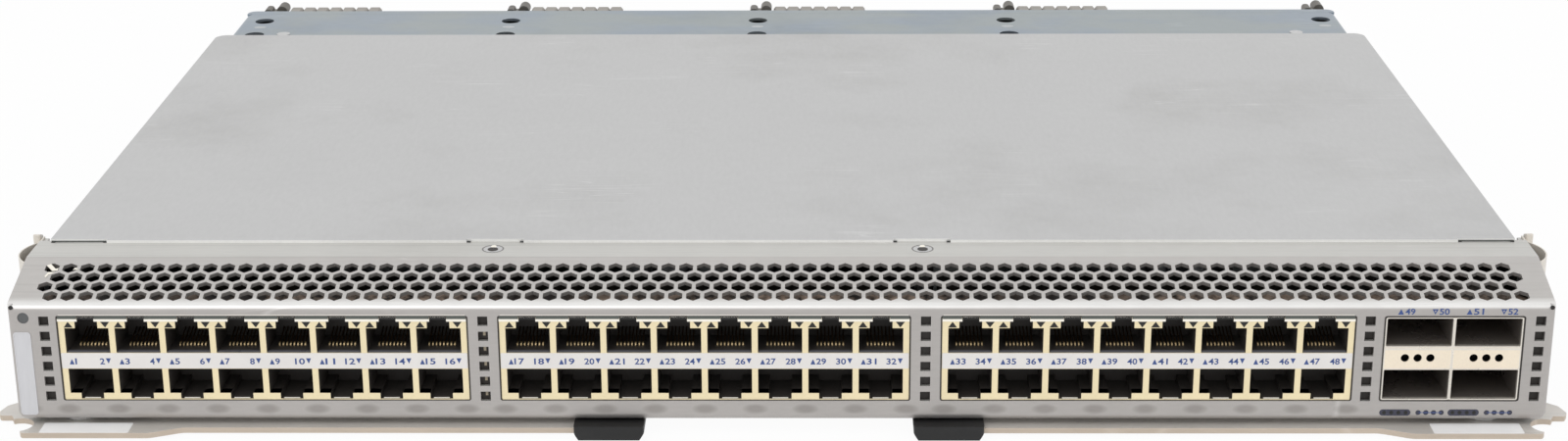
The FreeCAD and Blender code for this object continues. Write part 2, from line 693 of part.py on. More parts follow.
def chip(x, y, side):
    return box(x - side / 2, x + side / 2, y - side / 2, y + side / 2, BOARD_TOP, BOARD_TOP + CHIP_T)


def phy_y0():
    return JACK_D + PHY_GAP


def switch_y0():
    return phy_y0() + PHY_SINK_D + SWITCH_GAP


def power_brick(x):
    y0 = REAR_Y0 - 2 * PHY_GAP - BRICK_D
    brick = box(x - BRICK_W / 2, x + BRICK_W / 2, y0, y0 + BRICK_D, BOARD_TOP, BOARD_TOP + BRICK_H)
    return fillet_where(brick, 2 * BEND_R, lambda m, w: abs(w.z) > 0.9)


# ---------------------------------------------------------------- jack blocks
def jack_outline(x, z0, z1, latch_w, latch_z):
    """Opening of one jack: a rectangle with a latch slot reaching latch_z."""
    half = (JACK_PITCH - JACK_WALL) / 2
    slot = latch_w / 2
    if latch_z > z1:
        return [(x - half, z0), (x + half, z0), (x + half, z1), (x + slot, z1),
                (x + slot, latch_z), (x - slot, latch_z), (x - slot, z1), (x - half, z1)]
    return [(x - half, z1), (x - half, z0), (x - slot, z0), (x - slot, latch_z),
            (x + slot, latch_z), (x + slot, z0), (x + half, z0), (x + half, z1)]


def jack_openings(block, y0, y1):
    """All sixteen openings of one block, as prisms from y0 to y1."""
    bottom = BOARD_TOP + JACK_SILL
    top = BOARD_TOP + PORT_H - JACK_LINTEL
    cells = []
    for column in range(JACK_COLUMNS):
        x = jack_left(block) + JACK_WALL / 2 + (column + 0.5) * JACK_PITCH
        lower = jack_outline(x, bottom, bottom + JACK_OPEN_H, JACK_LATCH_W, BOARD_TOP + JACK_FOOT)
        upper = jack_outline(x, top - JACK_OPEN_H, top, JACK_LATCH_W, BOARD_TOP + PORT_H - JACK_LIP)
        cells += [prism_y(lower, y0, y1), prism_y(upper, y0, y1)]
    return cells


def jack_shield(block):
    """Metal skin: front face with the openings, both ends, top and rear."""
    x0 = jack_left(block)
    z1 = BOARD_TOP + PORT_H
    skin = box(x0, x0 + JACK_W, PORT_SETBACK, JACK_D, BOARD_TOP, z1)
    core = box(x0 + SHIELD_T, x0 + JACK_W - SHIELD_T, PORT_SETBACK + SHIELD_T, JACK_D - SHIELD_T,
               BOARD_TOP - 1, z1 - SHIELD_T)
    return skin.cut(core).cut(jack_openings(block, 0, PORT_SETBACK + 2 * SHIELD_T))


def jack_housing(block):
    """Moulded body with its sixteen pockets, filling the shield."""
    x0 = jack_left(block) + SHIELD_T
    front = PORT_SETBACK + SHIELD_T
    body = box(x0, x0 + JACK_W - 2 * SHIELD_T, front, JACK_D - SHIELD_T,
               BOARD_TOP, BOARD_TOP + PORT_H - SHIELD_T)
    return body.cut(jack_openings(block, 0, front + JACK_POCKET_D))


def contact_bar(x, z, lift):
    """Row of contacts of one jack, rising from the front to the rear of its pocket."""
    y1 = PORT_SETBACK + SHIELD_T + JACK_POCKET_D
    y0 = y1 - CONTACT_D
    rise = lift * CONTACT_D / 4
    near_z, far_z = z + lift * CONTACT_T, z + lift * CONTACT_T + rise
    section = [(y0, z), (y0, near_z), (y1, far_z), (y1, far_z - lift * CONTACT_T), (y0 + CONTACT_T, z)]
    return prism_x(section, x - CONTACT_W / 2, x + CONTACT_W / 2)


def jack_contacts(block):
    bars = []
    low = BOARD_TOP + JACK_SILL + JACK_OPEN_H
    for column in range(JACK_COLUMNS):
        x = jack_left(block) + JACK_WALL / 2 + (column + 0.5) * JACK_PITCH
        bars.append(contact_bar(x, low, -1))
        bars.append(contact_bar(x, low + JACK_MID, 1))
    return bars


# ---------------------------------------------------------------- uplink block
def uplink_column_x(column):
    """Left side of one column's openings."""
    return uplink_left() + CAGE_T + column * (UPLINK_OPEN_W + UPLINK_MID_WALL)


def uplink_cage():
    """Folded cage, two columns wide and two openings high, with a closed rear."""
    x0 = uplink_left()
    z0, z1 = BOARD_TOP, BOARD_TOP + PORT_H
    cage = box(x0, x0 + UPLINK_W, PORT_SETBACK, UPLINK_D, z0, z1)
    lower_z1 = z0 + CAGE_T + UPLINK_LOWER_H
    upper_z0 = z1 - CAGE_T - UPLINK_UPPER_H
    rooms = []
    for column in range(UPLINK_COLUMNS):
        a = uplink_column_x(column)
        b = a + UPLINK_OPEN_W
        rooms.append(box(a, b, 0, UPLINK_D - CAGE_T, z0 + CAGE_T, lower_z1))
        rooms.append(box(a, b, 0, UPLINK_D - CAGE_T, upper_z0, z1 - CAGE_T))
        rooms.append(box(a, b, 0, UPLINK_D - CAGE_T, lower_z1 + CAGE_T, upper_z0 - CAGE_T))
    return cage.cut(rooms)


def uplink_divider(column):
    """Moulded block between a column's two openings, with three lamp holes."""
    a = uplink_column_x(column)
    z0 = BOARD_TOP + 2 * CAGE_T + UPLINK_LOWER_H
    z1 = BOARD_TOP + PORT_H - 2 * CAGE_T - UPLINK_UPPER_H
    block = box(a, a + UPLINK_OPEN_W, PORT_SETBACK, PORT_SETBACK + DIVIDER_D, z0, z1)
    middle = a + UPLINK_OPEN_W / 2
    holes = []
    for n in (-1, 0, 1):
        centre = Vector(middle + n * DIVIDER_HOLE_PITCH, 0, (z0 + z1) / 2)
        holes.append(cylinder(DIVIDER_HOLE_R, DIVIDER_D / 2, centre, REARWARD))
    return block.cut(holes)


def uplink_connector(column):
    """Board-edge connectors at the rear of a column, one behind each opening."""
    a = uplink_column_x(column)
    rooms = ((BOARD_TOP + CAGE_T, UPLINK_LOWER_H),
             (BOARD_TOP + PORT_H - CAGE_T - UPLINK_UPPER_H, UPLINK_UPPER_H))
    y0, y1 = PORT_SETBACK + UPLINK_POCKET_D, UPLINK_D - CAGE_T
    blocks = []
    for z, height in rooms:
        body = box(a, a + UPLINK_OPEN_W, y0, y1, z, z + height)
        slot_z = z + (height - CARD_SLOT_H) / 2
        blocks.append(body.cut(box(a + CARD_SLOT_H, a + UPLINK_OPEN_W - CARD_SLOT_H, y0 - 1,
                                   (y0 + y1) / 2, slot_z, slot_z + CARD_SLOT_H)))
    return blocks


def uplink_light_pipes():
    """Clear moulding behind the lamp row, hung from the board's underside."""
    y0 = BEZEL_T + BEND_R + SEAM
    y1 = min(TRAY_LIP_Y, PIVOT_Y - STUD_NECK_R - RIVET_HEAD_H) - SEAM
    left = uplink_left()
    bar = box(left, left + UPLINK_W, y0, y1, LAMP_Z - LAMP_R + HOLE_GAP, BOARD_Z)
    return bar.fuse(lamp_bars(HOLE_GAP, 0, y0 + LAMP_R)).removeSplitter()


def status_light_pipe():
    """Clear rod from the status lamp's hole, turning down to the board."""
    radius = STATUS_R - HOLE_GAP
    run = BOARD_FRONT + EAR_D / 2 - PORT_SETBACK
    start = status_centre(PORT_SETBACK)
    corner = start + Vector(0, run, 0)
    rod = cylinder(radius, run + radius, start, REARWARD)
    leg = box(start.x - radius, start.x + radius, corner.y - radius, corner.y + radius,
              BOARD_TOP, start.z)
    return rod.fuse(leg).removeSplitter()


# ---------------------------------------------------------------- rear connectors
def guide_block(x):
    """Die-cast guide: a bore for the chassis pin, a rounded nose, a flat and a domed boss."""
    y0 = GUIDE_Y1 - GUIDE_D
    z1 = BOARD_TOP + GUIDE_H
    left, right = x - GUIDE_W / 2, x + GUIDE_W / 2
    block = box(left, right, y0, GUIDE_Y1, BOARD_TOP, z1)
    block = fillet_where(block, GUIDE_NOSE_R, lambda m, w: near(m.y, GUIDE_Y1) and not near(m.z, BOARD_TOP))
    boss_y = GUIDE_Y1 - 2 * BOSS_R
    flat = cylinder(FLAT_R, 2 * FLAT_H, Vector(left + BOSS_EDGE + FLAT_R, boss_y - FLAT_R, z1 - FLAT_H), UP)
    dome = Part.makeSphere(BOSS_R, Vector(right - BOSS_EDGE - BOSS_R, boss_y, z1))
    bore = cylinder(GUIDE_BORE_R, GUIDE_BORE_D + 1,
                    Vector(x, GUIDE_Y1 - GUIDE_BORE_D, BOARD_TOP + GUIDE_H / 2), REARWARD)
    lead_in = Part.makeCone(GUIDE_BORE_R, GUIDE_BORE_R + 2 * GUIDE_LEAD_IN, 2 * GUIDE_LEAD_IN,
                            Vector(x, GUIDE_Y1 - GUIDE_LEAD_IN, BOARD_TOP + GUIDE_H / 2), REARWARD)
    return block.fuse(flat).fuse(dome).cut([bore, lead_in])


def fabric_connector(x0):
    """Tall connector with ribbed top and a rank of upright slots in its mating face."""
    y1 = REAR_Y + FABRIC_PROUD
    y0 = y1 - FABRIC_D
    z1 = BOARD_TOP + FABRIC_H
    pitch = FABRIC_W / FABRIC_SLOTS
    top = []
    for n in range(FABRIC_SLOTS):
        a = x0 + n * pitch
        top += [(a, z1 - FABRIC_RIB), (a + pitch / 2, z1 - FABRIC_RIB), (a + pitch / 2, z1), (a + pitch, z1)]
    body = prism_y([(x0 + FABRIC_W, BOARD_TOP), (x0, BOARD_TOP)] + top, y0, y1)
    slots = []
    for n in range(FABRIC_SLOTS):
        a = x0 + (n + 0.5) * pitch - SLOT_W / 2
        slots.append(box(a, a + SLOT_W, y1 - SLOT_D, y1 + 1, BOARD_TOP + 2 * SLOT_W,
                         z1 - FABRIC_RIB - 2 * SLOT_W))
    tail = box(x0 + FABRIC_W, x0 + FABRIC_W + TAIL_W, y0, y1 - SLOT_D, BOARD_TOP, BOARD_TOP + TAIL_H)
    return body.cut(slots).fuse(tail).removeSplitter()


def power_connector():
    """Low connector with upright blade slots, beside the last guide block."""
    x1 = guide_x()[-1] - GUIDE_W / 2 - FABRIC_OFFSET
    x0 = x1 - POWER_W
    y1 = REAR_Y + FABRIC_PROUD
    body = box(x0, x1, y1 - FABRIC_D, y1, BOARD_TOP, BOARD_TOP + POWER_H)
    pitch = POWER_W / POWER_BLADES
    slots = []
    for n in range(POWER_BLADES):
        a = x0 + (n + 0.5) * pitch - SLOT_W / 2
        slots.append(box(a, a + SLOT_W, y1 - SLOT_D, y1 + 1, BOARD_TOP + 2 * SLOT_W,
                         BOARD_TOP + POWER_H - 2 * SLOT_W))
    return body.cut(slots)


# ---------------------------------------------------------------- levers
def lever():
    """Right lever: stamped plate with a hooked claw, a hub and a long narrow arm."""
    arm_y0, arm_y1 = -ARM_PROUD, LEVER_W - ARM_PROUD
    arm_x = GRIP_IN + GRIP_END
    joggle_x = HALF_W - JOGGLE_IN
    tip_x = HALF_W + CLAW_PROUD
    hub_y = PIVOT_Y + HUB_R
    claw_y = PIVOT_Y - CLAW_BACK
    heel_y = PIVOT_Y + NOTCH_R
    outline = [(arm_x, arm_y0), (joggle_x - JOGGLE_L, arm_y0), (joggle_x, -LEVER_PROUD),
               (HALF_W - NOTCH_R / 2, -LEVER_PROUD), (HALF_W - NOTCH_R / 4, 1 - NOTCH_R),
               (tip_x - NOTCH_R, claw_y), (tip_x - CLAW_TIP / 2, claw_y), (tip_x, claw_y + CLAW_TIP),
               (tip_x - CLAW_TIP / 2, heel_y), (tip_x - NOTCH_R, heel_y + CLAW_HEEL),
               (PIVOT_X + HUB_R / 2, hub_y), (PIVOT_X - HUB_R / 2, hub_y),
               (joggle_x, arm_y1), (arm_x, arm_y1)]
    plate = prism_z(outline, LEVER_Z0, LEVER_Z1)
    bends = [outline[n] for n in (1, 2, 10, 11, 12)]
    tips = [outline[n] for n in (3, 6, 7, 8, 9)]
    plate = round_corners(plate, LEVER_BEND_R, bends)
    plate = round_corners(plate, LEVER_TIP_R, tips)
    notch = cylinder(NOTCH_R, 3 * LEVER_T, Vector(HALF_W + NOTCH_OUT, 0, LEVER_Z0 - LEVER_T), UP)
    bore = cylinder(STUD_R + RUN_GAP, 3 * LEVER_T, Vector(PIVOT_X, PIVOT_Y, LEVER_Z0 - LEVER_T), UP)
    return plate.cut([notch, bore])


def lever_stud():
    """Right shoulder stud: collar under the card, shank for the lever, head below it."""
    up = UP

    def disc(radius, z0, z1):
        return cylinder(radius, z1 - z0, Vector(PIVOT_X, PIVOT_Y, z0), up)

    collar = disc(STUD_COLLAR_R, LEVER_Z1 + END_PLAY, 0)
    shank = disc(STUD_R, LEVER_Z0 - END_PLAY, LEVER_Z1 + END_PLAY)
    head = disc(STUD_HEAD_R, LEVER_Z0 - END_PLAY - STUD_HEAD_T, LEVER_Z0 - END_PLAY)
    neck = disc(STUD_NECK_R, 0, PIVOT_TOP)
    upset = disc(STUD_NECK_R + RIVET_HEAD_H, PIVOT_TOP, PIVOT_TOP + RIVET_HEAD_H)
    return collar.fuse([shank, head, neck, upset]).removeSplitter()


def grip():
    """Right finger grip, moulded round the end of the lever's arm."""
    x0, x1 = GRIP_IN, GRIP_IN + GRIP_L
    y0, y1 = -ARM_PROUD - GRIP_LIP, LEVER_W - ARM_PROUD + GRIP_LIP
    c = GRIP_CHAMFER
    front = [(x0, GRIP_Z1), (x0, GRIP_Z0 + 1.5 * c), (x0 + c, GRIP_Z0), (x1 - c, GRIP_Z0),
             (x1, GRIP_Z0 + 1.5 * c), (x1, GRIP_Z1)]
    body = prism_y(front, y0, y1)
    body = fillet_where(body, 1.0, lambda m, w: abs(w.z) > 0.9)
    gap = GRIP_GAP
    slot = box(x0 + GRIP_END - gap, x1 + 1, -ARM_PROUD - gap, LEVER_W - ARM_PROUD + gap,
               LEVER_Z0 - gap, LEVER_Z1 + gap)
    return body.cut(slot)


# ---------------------------------------------------------------- side finger strips
def finger_strip():
    """Right strip: an upright spine on the side return, with fingers that bow outwards."""
    x0 = HALF_W
    t = SPRING_T
    y_spine = RETURN_D - FINGER_SPINE
    y_mid = (FINGER_FRONT + y_spine) / 2
    z1 = DECK_Z - FINGER_DROP
    pitch = (z1 - FINGER_Z0 + FINGER_GAP) / FINGERS

    def bow(offset):
        return (Vector(x0 + offset, FINGER_FRONT, 0), Vector(x0 + FINGER_BOW + offset, y_mid, 0),
                Vector(x0 + offset, y_spine, 0))

    inner, outer = bow(0), bow(t)
    edges = [Part.Arc(*inner).toShape(), Part.makeLine(inner[2], outer[2]),
             Part.Arc(outer[2], outer[1], outer[0]).toShape(), Part.makeLine(outer[0], inner[0])]
    leaf = Part.Face(Part.Wire(edges)).extrude(Vector(0, 0, pitch - FINGER_GAP))
    solids = [box(x0, x0 + t, y_spine, RETURN_D, FINGER_Z0, z1)]
    for n in range(FINGERS):
        finger = leaf.copy()
        finger.translate(Vector(0, 0, FINGER_Z0 + n * pitch))
        solids.append(finger)
    return solids[0].fuse(solids[1:]).removeSplitter()


# ---------------------------------------------------------------- the card
def build():
    save("front_bezel", front_bezel())
    save("base_tray", base_tray())
    save("top_cover", top_cover())
    save("rear_bracket", rear_bracket())
    save("main_board", main_board())
    for block in range(JACK_BLOCKS):
        number = str(block + 1)
        x = jack_left(block) + JACK_W / 2
        save("jack_shield_" + number, jack_shield(block))
        save("jack_housing_" + number, jack_housing(block))
        save("jack_contacts_" + number, Part.makeCompound(jack_contacts(block)))
        save("phy_chip_" + number, chip(x, phy_y0() + PHY_SINK_D / 2, CHIP_SIDE))
        save("phy_heat_sink_" + number, heat_sink(x, phy_y0(), PHY_SINK_W, PHY_SINK_D, PHY_FINS))
    save("uplink_cage", uplink_cage())
    for column, side in enumerate(("left", "right")):
        save("uplink_divider_" + side, uplink_divider(column))
        save("uplink_connector_" + side, Part.makeCompound(uplink_connector(column)))
    save("uplink_light_pipes", uplink_light_pipes())
    save("status_light_pipe", status_light_pipe())
    save("switch_chip", chip(0, switch_y0() + SWITCH_SINK_D / 2, SWITCH_SIDE))
    save("switch_heat_sink", heat_sink(0, switch_y0(), SWITCH_SINK_W, SWITCH_SINK_D, SWITCH_FINS))
    save("power_brick_left", power_brick(-BRICK_X))
    save("power_brick_right", power_brick(BRICK_X))
    for n, x in enumerate(guide_x()):
        save("guide_block_" + str(n + 1), guide_block(x))
    for n in range(GROUPS):
        x0 = guide_x()[n] + GUIDE_W / 2 + FABRIC_OFFSET
        save("fabric_connector_" + str(n + 1), fabric_connector(x0))
    save("power_connector", power_connector())
    posts = gap_columns()[:2]
    save("hood_posts", Part.makeCompound([hood_post(x) for x in posts]))
    save("hood_screws", Part.makeCompound([hood_screw(x) for x in posts]))
    save("board_standoffs", Part.makeCompound([standoff(x, y) for x, y in standoff_places()]))
    save("board_screws", Part.makeCompound([board_screw(x, y) for x, y in standoff_places()]))
    sides = (-1, 1)
    save("cover_screws", Part.makeCompound([cover_screw(s, y) for s in sides for y in cover_screw_rows()]))
    save("tab_rivets", Part.makeCompound([tab_rivet(s, z) for s in sides for z in tab_rivet_heights()]))
    save("bracket_rivets", Part.makeCompound([bracket_rivet(s) for s in sides]))
    save("finger_strip_right", finger_strip())
    save("finger_strip_left", mirrored(finger_strip()))
    save("lever_right", lever())
    save("lever_left", mirrored(lever()))
    save("lever_studs", Part.makeCompound([lever_stud(), mirrored(lever_stud())]))
    save("grip_right", grip())
    save("grip_left", mirrored(grip()))


build()
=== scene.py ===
"""Dresses the switch line card: finishes for every CAD piece, and the small parts the CAD leaves plain.

The small parts are drawn in millimetres and scaled as they become objects. Shaders and the stage are in
metres."""
import math
from types import SimpleNamespace

import bmesh
import bpy
from bpy.props import FloatProperty, FloatVectorProperty, IntProperty, PointerProperty
from bpy.types import Operator, Panel, PropertyGroup
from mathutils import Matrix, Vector


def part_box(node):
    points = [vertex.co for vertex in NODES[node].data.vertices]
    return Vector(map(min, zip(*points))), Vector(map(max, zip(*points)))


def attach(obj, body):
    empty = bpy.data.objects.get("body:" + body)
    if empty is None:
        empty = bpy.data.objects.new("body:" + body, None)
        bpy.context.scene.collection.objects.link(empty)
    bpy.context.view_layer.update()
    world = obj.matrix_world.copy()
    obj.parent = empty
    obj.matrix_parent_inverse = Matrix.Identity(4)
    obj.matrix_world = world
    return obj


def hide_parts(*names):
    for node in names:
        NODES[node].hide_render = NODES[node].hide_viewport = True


bl_info = {
    "name": "Switch line card",
    "version": (1, 0, 0),
    "blender": (4, 5, 0),
    "location": "View3D > Sidebar > Line card",
    "description": "Finishes and small parts of a switch line card",
    "category": "Object",
}

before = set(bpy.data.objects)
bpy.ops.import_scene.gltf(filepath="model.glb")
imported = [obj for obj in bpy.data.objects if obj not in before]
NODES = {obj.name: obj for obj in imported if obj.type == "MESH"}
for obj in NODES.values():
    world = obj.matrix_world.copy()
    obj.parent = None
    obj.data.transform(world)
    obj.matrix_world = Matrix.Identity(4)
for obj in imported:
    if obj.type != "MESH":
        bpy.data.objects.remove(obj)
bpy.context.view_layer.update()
MM = 0.001
# Jacks side by side in a block, which has two rows of them.
COLUMNS = 8
BLOCKS = (1, 2, 3)
FIRST_UPLINK = 2 * COLUMNS * len(BLOCKS) + 1
GUIDES = range(1, 6)
CONNECTORS = range(1, 5)
SIDES = (("left", -1), ("right", 1))
# Thickness of print.
INK = 0.02
HOOD_RISE = 6.54 / 22.35
# From the bracket's flat top to just past its rolled lip, where the tops of the castings start.
PAST_LIP = 4.3
# Near-white patches on the hood, in millimetres from the plate's left edge and its face.
HOOD_PATCHES = (((6.8, 18.3), (7.9, 18.9), (9.7, 16.8), (10.45, 17.1), (10.45, 16.1), (9.0, 15.8)),
         ((7.4, 13.4), (8.0, 15.3), (9.8, 15.3), (9.0, 14.5), (8.3, 14.4), (7.9, 12.9)),
         ((14.7, 16.4), (15.2, 17.3), (16.2, 16.6)))
# Side view of the bracket's rolled lip, as (y, z) from the rear edge of its top.
LIP = ((-1.65, 0.01), (2.8, 0.01), (3.6, -0.3), (4.0, -1.1), (4.0, -2.4), (3.2, -2.4), (3.2, -1.2),
       (2.7, -0.8), (-1.65, -0.8))
# Section of one rib of a rear connector, as (x, z) from the middle of its top.
RIB = ((2.3, -0.7), (1.7, 0), (-1.7, 0), (-2.3, -0.7), (-2.5, -1.1), (-2.5, -2.4), (2.5, -2.4), (2.5, -1.1))
RIB_STEP = 5.0


# ---- user settings
def tone(r, g, b):
    """Scene-linear colour of a display colour given as 0 to 255."""
    return tuple(((c / 255 + 0.055) / 1.055) ** 2.4 if c > 10 else c / 3294.6 for c in (r, g, b))


def colour(name, description, display):
    return FloatVectorProperty(name=name, description=description, default=tone(*display),
                               size=3, min=0, max=1, subtype="COLOR")


def length(name, description, mm):
    return FloatProperty(name=name, description=description, default=mm * MM, min=0,
                         subtype="DISTANCE", unit="LENGTH", precision=5)


def amount(name, description, value, top=1.0):
    return FloatProperty(name=name, description=description, default=value, min=0, max=top)


def power(name, description, watts):
    return FloatProperty(name=name, description=description, default=watts, min=0, unit="POWER")


class CardFinishes(PropertyGroup):
    # Hood and flange: lighter tones of the one sheet, painted for the light their upward faces catch.
    face: colour("Front plate", "Upright front plate", (184, 180, 177))
    slope: colour("Hood", "Sloping part of the hood", (196, 193, 190))
    flange: colour("Flange", "Flat part of the hood behind the vents", (204, 203, 199))
    # Painted highlight along the folds.
    fold: colour("Folds", "Bright metal along the folds", (236, 235, 233))
    # Painted highlight on the cover's front edge.
    cut_edge: colour("Cut edge", "Bright cut edge of the cover", (252, 252, 250))
    cover: colour("Cover", "Flat top cover", (199, 199, 199))
    tray: colour("Tray", "Bottom tray", (186, 187, 190))
    zinc: colour("Zinc", "Rear bracket", (149, 157, 162))
    cream: colour("Jack plating", "Plated skin of the jacks", (246, 231, 192))
    cage: colour("Cage", "Uplink cage", (236, 230, 220))
    divider: colour("Divider", "Strip between the uplinks", (250, 237, 216))
    ink: colour("Ink", "Port numbers", (60, 84, 142))
    strip: colour("Label strip", "Strip behind the port numbers", (236, 233, 230))
    plate: colour("Bare plate", "Plate at the left end of the front", (212, 212, 215))
    label: colour("Lever label", "Bare labels on the levers", (253, 253, 253))
    # Lightened to make up for the shade under the front plate.
    lever: colour("Lever", "Flat side of the stamped levers", (222, 218, 212))
    grip: colour("Grip", "Moulded finger grips", (15, 15, 16))
    plastic: colour("Jack plastic", "Moulded jack bodies", (66, 62, 59))
    gold: colour("Contacts", "Gold plating of the contacts", (250, 222, 168))
    board: colour("Board", "Solder mask of the board", (28, 84, 52))
    lamp: colour("Lamp row", "Clear moulding with the lamps off", (58, 59, 76))
    marks: amount("Handling marks", "Strength of smudges and fine scratches", 0.5)
    rub: amount("Rubbed edges", "Strength of the brighter edges", 0.5)


class CardDetails(PropertyGroup):
    pitch: length("Jack pitch", "From one jack column to the next", 13.97)
    strip_low: length("Strip bottom", "Label strip above the foot of its block", 9.48)
    strip_height: length("Strip height", "Height of the label strip", 4.6)
    film: length("Film thickness", "Labels and printed film", 0.1)
    digit: length("Digit height", "Height of the port numbers", 1.85)
    digit_width: length("Digit width", "Width of one digit with its gap", 1.42)
    wire: length("Contact width", "Width of one contact wire", 0.4)
    wire_pitch: length("Contact pitch", "Between two contact wires", 1.02)
    wires: IntProperty(name="Contacts", description="Contact wires of a jack", default=8, min=2, max=10)


class CardStage(PropertyGroup):
    floor: colour("Floor", "Colour of the floor", (250, 250, 250))
    sky: amount("Sky", "Strength of the even light", 0.72, 3.0)
    key: power("Key lamp", "Power of the large lamp", 9.0)
    fill: power("Fill lamp", "Power of the side lamp", 3.0)
    lens: FloatProperty(name="Lens", description="Focal length of the camera", default=59.443, min=10,
                        unit="CAMERA")


# ---- places on the CAD
def box(node):
    """Low and high corner of a CAD piece, in millimetres."""
    return [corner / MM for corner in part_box(node)]


def details():
    """The detail settings, with their lengths in millimetres."""
    group = bpy.context.scene.card_details
    values = {key: getattr(group, key) for key in group.__annotations__}
    return SimpleNamespace(**{key: v if isinstance(v, int) else v / MM for key, v in values.items()})


def front_plane():
    """Y of the front plate's outer face: the connectors stand just behind it."""
    return box("front_bezel")[0].y


def front_left():
    return box("front_bezel")[0].x


def hood_foot():
    """Z of the fold between the upright plate and the hood."""
    return box("uplink_cage")[1].z + 3.05


def jack_centres(low, high):
    middle = (low.x + high.x) / 2
    return [middle + (n - (COLUMNS - 1) / 2) * details().pitch for n in range(COLUMNS)]


def finishes():
    return bpy.context.scene.card_finishes


# ---- outlines
def rounded(x0, x1, z0, z1, radius, steps=5):
    """Corner points of a rounded rectangle."""
    points = []
    corners = ((x1 - radius, z1 - radius, 0), (x0 + radius, z1 - radius, 90),
               (x0 + radius, z0 + radius, 180), (x1 - radius, z0 + radius, 270))
    for cx, cz, start in corners:
        for n in range(steps + 1):
            a = math.radians(start + 90 * n / steps)
            points.append((cx + radius * math.cos(a), cz + radius * math.sin(a)))
    return points


def oval(x, z, across, up, steps):
    """Oval round (x, z) from its two radii."""
    turns = [math.tau * n / steps for n in range(steps)]
    return [(x + across * math.cos(a), z + up * math.sin(a)) for a in turns]


def disc(x, z, radius, steps=16):
    return oval(x, z, radius, radius, steps)


def triangle(x, z, width, height, up):
    """Triangle centred on (x, z), anticlockwise from the front."""
    w, h = width / 2, height / 2
    if up:
        return [(x - w, z - h), (x + w, z - h), (x, z + h)]
    return [(x - w, z + h), (x, z - h), (x + w, z + h)]


# ---- mesh helpers
def box_into(bm, x0, x1, y0, y1, z0, z1):
    """Adds a closed box and returns its vertices."""
    verts = bmesh.ops.create_cube(bm, size=1.0)["verts"]
    size = Vector((x1 - x0, y1 - y0, z1 - z0))
    centre = Vector((x0 + x1, y0 + y1, z0 + z1)) / 2
    for v in verts:
        v.co = v.co * size + centre
    return verts


def wedge_into(bm, x0, x1, y_low, y_high, z0, z1):
    """Adds a strip whose front leans back from y_low at its foot to y_high at its top."""
    for v in box_into(bm, x0, x1, y_low, y_high + 0.1, z0, z1):
        if v.co.z > (z0 + z1) / 2 and v.co.y < y_high:
            v.co.y = y_high


def loft(bm, loops, ring=False):
    """Adds a closed skin over a row of loops of points: closed by its end loops, or round into a ring."""
    loops = [[bm.verts.new(point) for point in loop] for loop in loops]
    for a, b in zip(loops, loops[1:] + loops[:1] if ring else loops[1:]):
        for n in range(len(a)):
            bm.faces.new((a[n - 1], a[n], b[n], b[n - 1]))
    if not ring:
        bm.faces.new(loops[0][::-1])
        bm.faces.new(loops[-1])


def prism_into(bm, outline, y0, y1):
    """Adds a prism along Y through an outline of (x, z) points, anticlockwise from the front."""
    loft(bm, [[(x, y, z) for x, z in outline] for y in (y1, y0)])


def slab_into(bm, outline, z0, z1):
    """Adds a flat plate with an outline of (x, y) points, anticlockwise from above."""
    loft(bm, [[(x, y, z) for x, y in outline] for z in (z0, z1)])


def hoop_into(bm, outer, inner, y0, y1):
    """Adds a closed ring between two outlines with as many points."""
    rims = ((outer, y0), (inner, y0), (inner, y1), (outer, y1))
    loft(bm, [[(x, y, z) for x, z in outline] for outline, y in rims], ring=True)


def ribbon_into(bm, x, half, path, thickness=0.2):
    """Adds a thin strip of a given half width that follows a side view."""
    section = ((-half, 0), (half, 0), (half, thickness), (-half, thickness))
    loft(bm, [[(x + dx, y, z + dz) for dx, dz in section] for y, z in path])


def digits_into(bm, number, x, y, z, right=False):
    """Adds a flat bold number facing -Y with its foot at z, from x to the right, or to the left where
    right is set."""
    size = details()
    words = str(number)
    curve = bpy.data.curves.new("digits", "FONT")
    curve.body = words
    curve.offset = 0.02
    curve.resolution_u = 3
    holder = add_object("digits", curve)
    graph = bpy.context.evaluated_depsgraph_get()
    mesh = bpy.data.meshes.new_from_object(holder.evaluated_get(graph))
    xs = [v.co.x for v in mesh.vertices]
    ys = [v.co.y for v in mesh.vertices]
    left, foot = min(xs), min(ys)
    # A lone 1 is narrower than the other digits.
    run = size.digit_width * (len(words) - 0.06 - 0.6 * (words == "1"))
    across, up = run / (max(xs) - left), size.digit / (max(ys) - foot)
    if right:
        x -= run
    for v in mesh.vertices:
        v.co = (x + (v.co.x - left) * across, y, z + (v.co.y - foot) * up)
    bm.from_mesh(mesh)
    bpy.data.objects.remove(holder)
    bpy.data.curves.remove(curve)
    bpy.data.meshes.remove(mesh)


def add_object(name, data):
    obj = bpy.data.objects.new(name, data)
    bpy.context.scene.collection.objects.link(obj)
    return obj


def piece(name, bm, material, bevel=0.0, body="card"):
    """Turns bm, drawn in millimetres, into an object of the scene that rides on a body."""
    for v in bm.verts:
        v.co *= MM
    if bevel:
        sharp = [e for e in bm.edges if e.is_manifold and e.calc_face_angle(0) > 0.6]
        bmesh.ops.bevel(bm, geom=sharp, offset=bevel * MM, segments=2, affect="EDGES", profile=0.6)
    bmesh.ops.recalc_face_normals(bm, faces=bm.faces)
    mesh = bpy.data.meshes.new(name)
    bm.to_mesh(mesh)
    bm.free()
    mesh.materials.append(bpy.data.materials[material])
    obj = add_object(name, mesh)
    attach(obj, body)
    return obj


def finish(material, *nodes):
    """Gives CAD pieces their material."""
    for node in nodes:
        slots = NODES[node].data.materials
        if not slots:
            slots.append(None)
        for n in range(len(slots)):
            slots[n] = bpy.data.materials[material]


